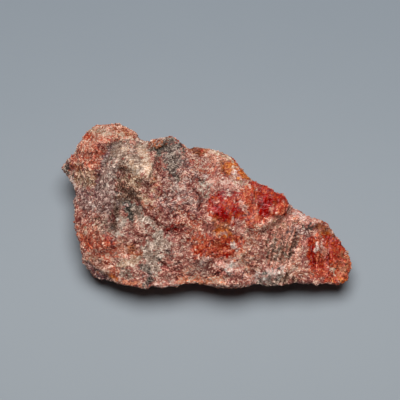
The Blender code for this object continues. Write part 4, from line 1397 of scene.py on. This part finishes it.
@dataclass(frozen=True)
class Studio:
    """A pale floor, a soft overhead light and the camera. Sizes are in metres.

    The floor is painted darker from its near colour to its far one between two places along y, as
    painted shade.
    """

    plane: SlopePlane
    floor_half: float = 1.5
    floor_near: Colour = shown(163, 170, 176)
    floor_far_painted_shade: Colour = shown(141, 149, 157)
    floor_painted_fade: tuple[float, float] = (-0.035, 0.075)
    mottle_scale: float = 60.0
    mottle_detail: float = 2.0
    mottle_share: float = 0.08
    floor_roughness: float = 0.9
    floor_gloss: float = 0.1
    key_size: float = 0.42
    key_place: tuple[float, float, float] = (0.0, 0.09, 0.40)
    key_energy: float = 2.1
    sky_colour: Colour = (0.93, 0.97, 1.0)
    sky_strength: float = 0.02
    view_width: float = 0.080
    sensor: float = 36.0
    clip_start: float = 0.01

    def floor(self) -> bpy.types.Object:
        """The floor that the stone rests on.

        Returns:
            The floor.
        """
        mesh = bpy.data.meshes.new("floor")
        half = self.floor_half
        corners = [(-half, -half, 0), (half, -half, 0), (half, half, 0), (-half, half, 0)]
        mesh.from_pydata(corners, [], [(0, 1, 2, 3)])
        floor = bpy.data.objects.new("floor", mesh)
        bpy.context.scene.collection.objects.link(floor)
        material = bpy.data.materials.new("pale floor")
        material.use_nodes = True
        canvas = Canvas(material.node_tree)
        shader = material.node_tree.nodes["Principled BSDF"]
        place = canvas.node("ShaderNodeTexCoord").outputs["Object"]
        mottle = canvas.noise(place, self.mottle_scale, self.mottle_detail)
        apart = canvas.node("ShaderNodeSeparateXYZ", {0: place})
        # Painted shade: the floor is painted darker further along y.
        away = canvas.ramp(apart.outputs["Y"], *self.floor_painted_fade)
        away = canvas.math("MULTIPLY_ADD", mottle.outputs[0], self.mottle_share, away)
        colour = canvas.mix(away, (*self.floor_near, 1.0), (*self.floor_far_painted_shade, 1.0))
        canvas.feed(
            shader,
            {
                "Base Color": colour,
                "Roughness": self.floor_roughness,
                "Specular IOR Level": self.floor_gloss,
            },
        )
        mesh.materials.append(material)
        return floor

    def lights(self) -> None:
        """One soft light nearly overhead, and an even sky."""
        light = bpy.data.lights.new("key", "AREA")
        light.shape = "DISK"
        light.size = self.key_size
        light.energy = self.key_energy
        key = bpy.data.objects.new("key", light)
        key.location = self.key_place
        key.rotation_mode = "QUATERNION"
        key.rotation_quaternion = Vector(self.key_place).to_track_quat("Z", "Y")
        bpy.context.scene.collection.objects.link(key)
        world = bpy.data.worlds.new("sky")
        world.use_nodes = True
        sky = world.node_tree.nodes["Background"]
        sky.inputs["Color"].default_value = (*self.sky_colour, 1.0)
        sky.inputs["Strength"].default_value = self.sky_strength
        bpy.context.scene.world = world

    def camera(self) -> None:
        """The camera, square on to the slope plane and aimed at the face's middle."""
        lens = bpy.data.cameras.new("camera")
        across, uphill, outward = self.plane.face_middle
        distance = self.plane.seen_from
        lens.sensor_width = self.sensor
        lens.lens = self.sensor * distance * MM / self.view_width
        lens.clip_start = self.clip_start
        camera = bpy.data.objects.new("camera", lens)
        camera.location = self.plane.lift(across, uphill, outward + distance)
        camera.rotation_mode = "QUATERNION"
        camera.rotation_quaternion = Vector(self.plane.axes[2]).to_track_quat("Z", "Y")
        bpy.context.scene.collection.objects.link(camera)
        bpy.context.scene.camera = camera


BROKEN_TRIPLITE = BrokenFinish(
    name="broken triplite",
    coarse_per_mm=1.2,
    flakes_per_mm=4.6,
    slimness=0.30,
    raggedness=0.3,
    contrast=1.65,
    brightness=0.5,
    mottle=1.0,
    facet_tilt=0.6,
    bump=0.10,
    gloss=0.3,
)

# Its high brightness paints the loose grains mostly in their light colours, partly as painted glints.
CLEAVAGE_FACES = BrokenFinish(
    name="cleavage faces",
    coarse_per_mm=1.2,
    flakes_per_mm=2.4,
    slimness=0.6,
    raggedness=0.2,
    contrast=0.8,
    brightness=0.85,
    mottle=0.4,
    facet_tilt=0.25,
    bump=0.02,
    gloss=0.35,
)

LOOSE_GRAINS: tuple[CleavageGrains, ...] = (
    CleavageGrains(
        name="coarse_grains",
        per_square_mm=0.25,
        smallest=(0.35, 0.20, 0.12),
        largest=(0.85, 0.45, 0.30),
        lean=0.5,
        seed=11,
    ),
    CleavageGrains(
        name="fine_grains",
        per_square_mm=2.0,
        smallest=(0.30, 0.10, 0.08),
        largest=(0.90, 0.20, 0.16),
        lean=0.35,
        seed=12,
    ),
)


def main() -> None:
    """Builds the stone, its loose grains and the studio, and ties the pieces to the frame."""
    logging.basicConfig(level=logging.INFO, format="%(name)s: %(message)s")
    plane = SlopePlane()
    effects = Effects()
    body = StoneBody(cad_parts["triplite_stone"], plane)
    stone = body.build(BROKEN_TRIPLITE.material(effects))
    material = CLEAVAGE_FACES.material(effects)
    pieces = [stone, *(grains.build(stone, material) for grains in LOOSE_GRAINS)]
    for piece in pieces:
        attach(piece, "root")
        log.info("%s: %d triangles", piece.name, triangle_count(piece))
    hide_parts("triplite_stone")

    studio = Studio(plane)
    studio.floor()
    studio.lights()
    studio.camera()
    bpy.context.scene.view_settings.view_transform = "Standard"


if __name__ == "__main__":
    main()
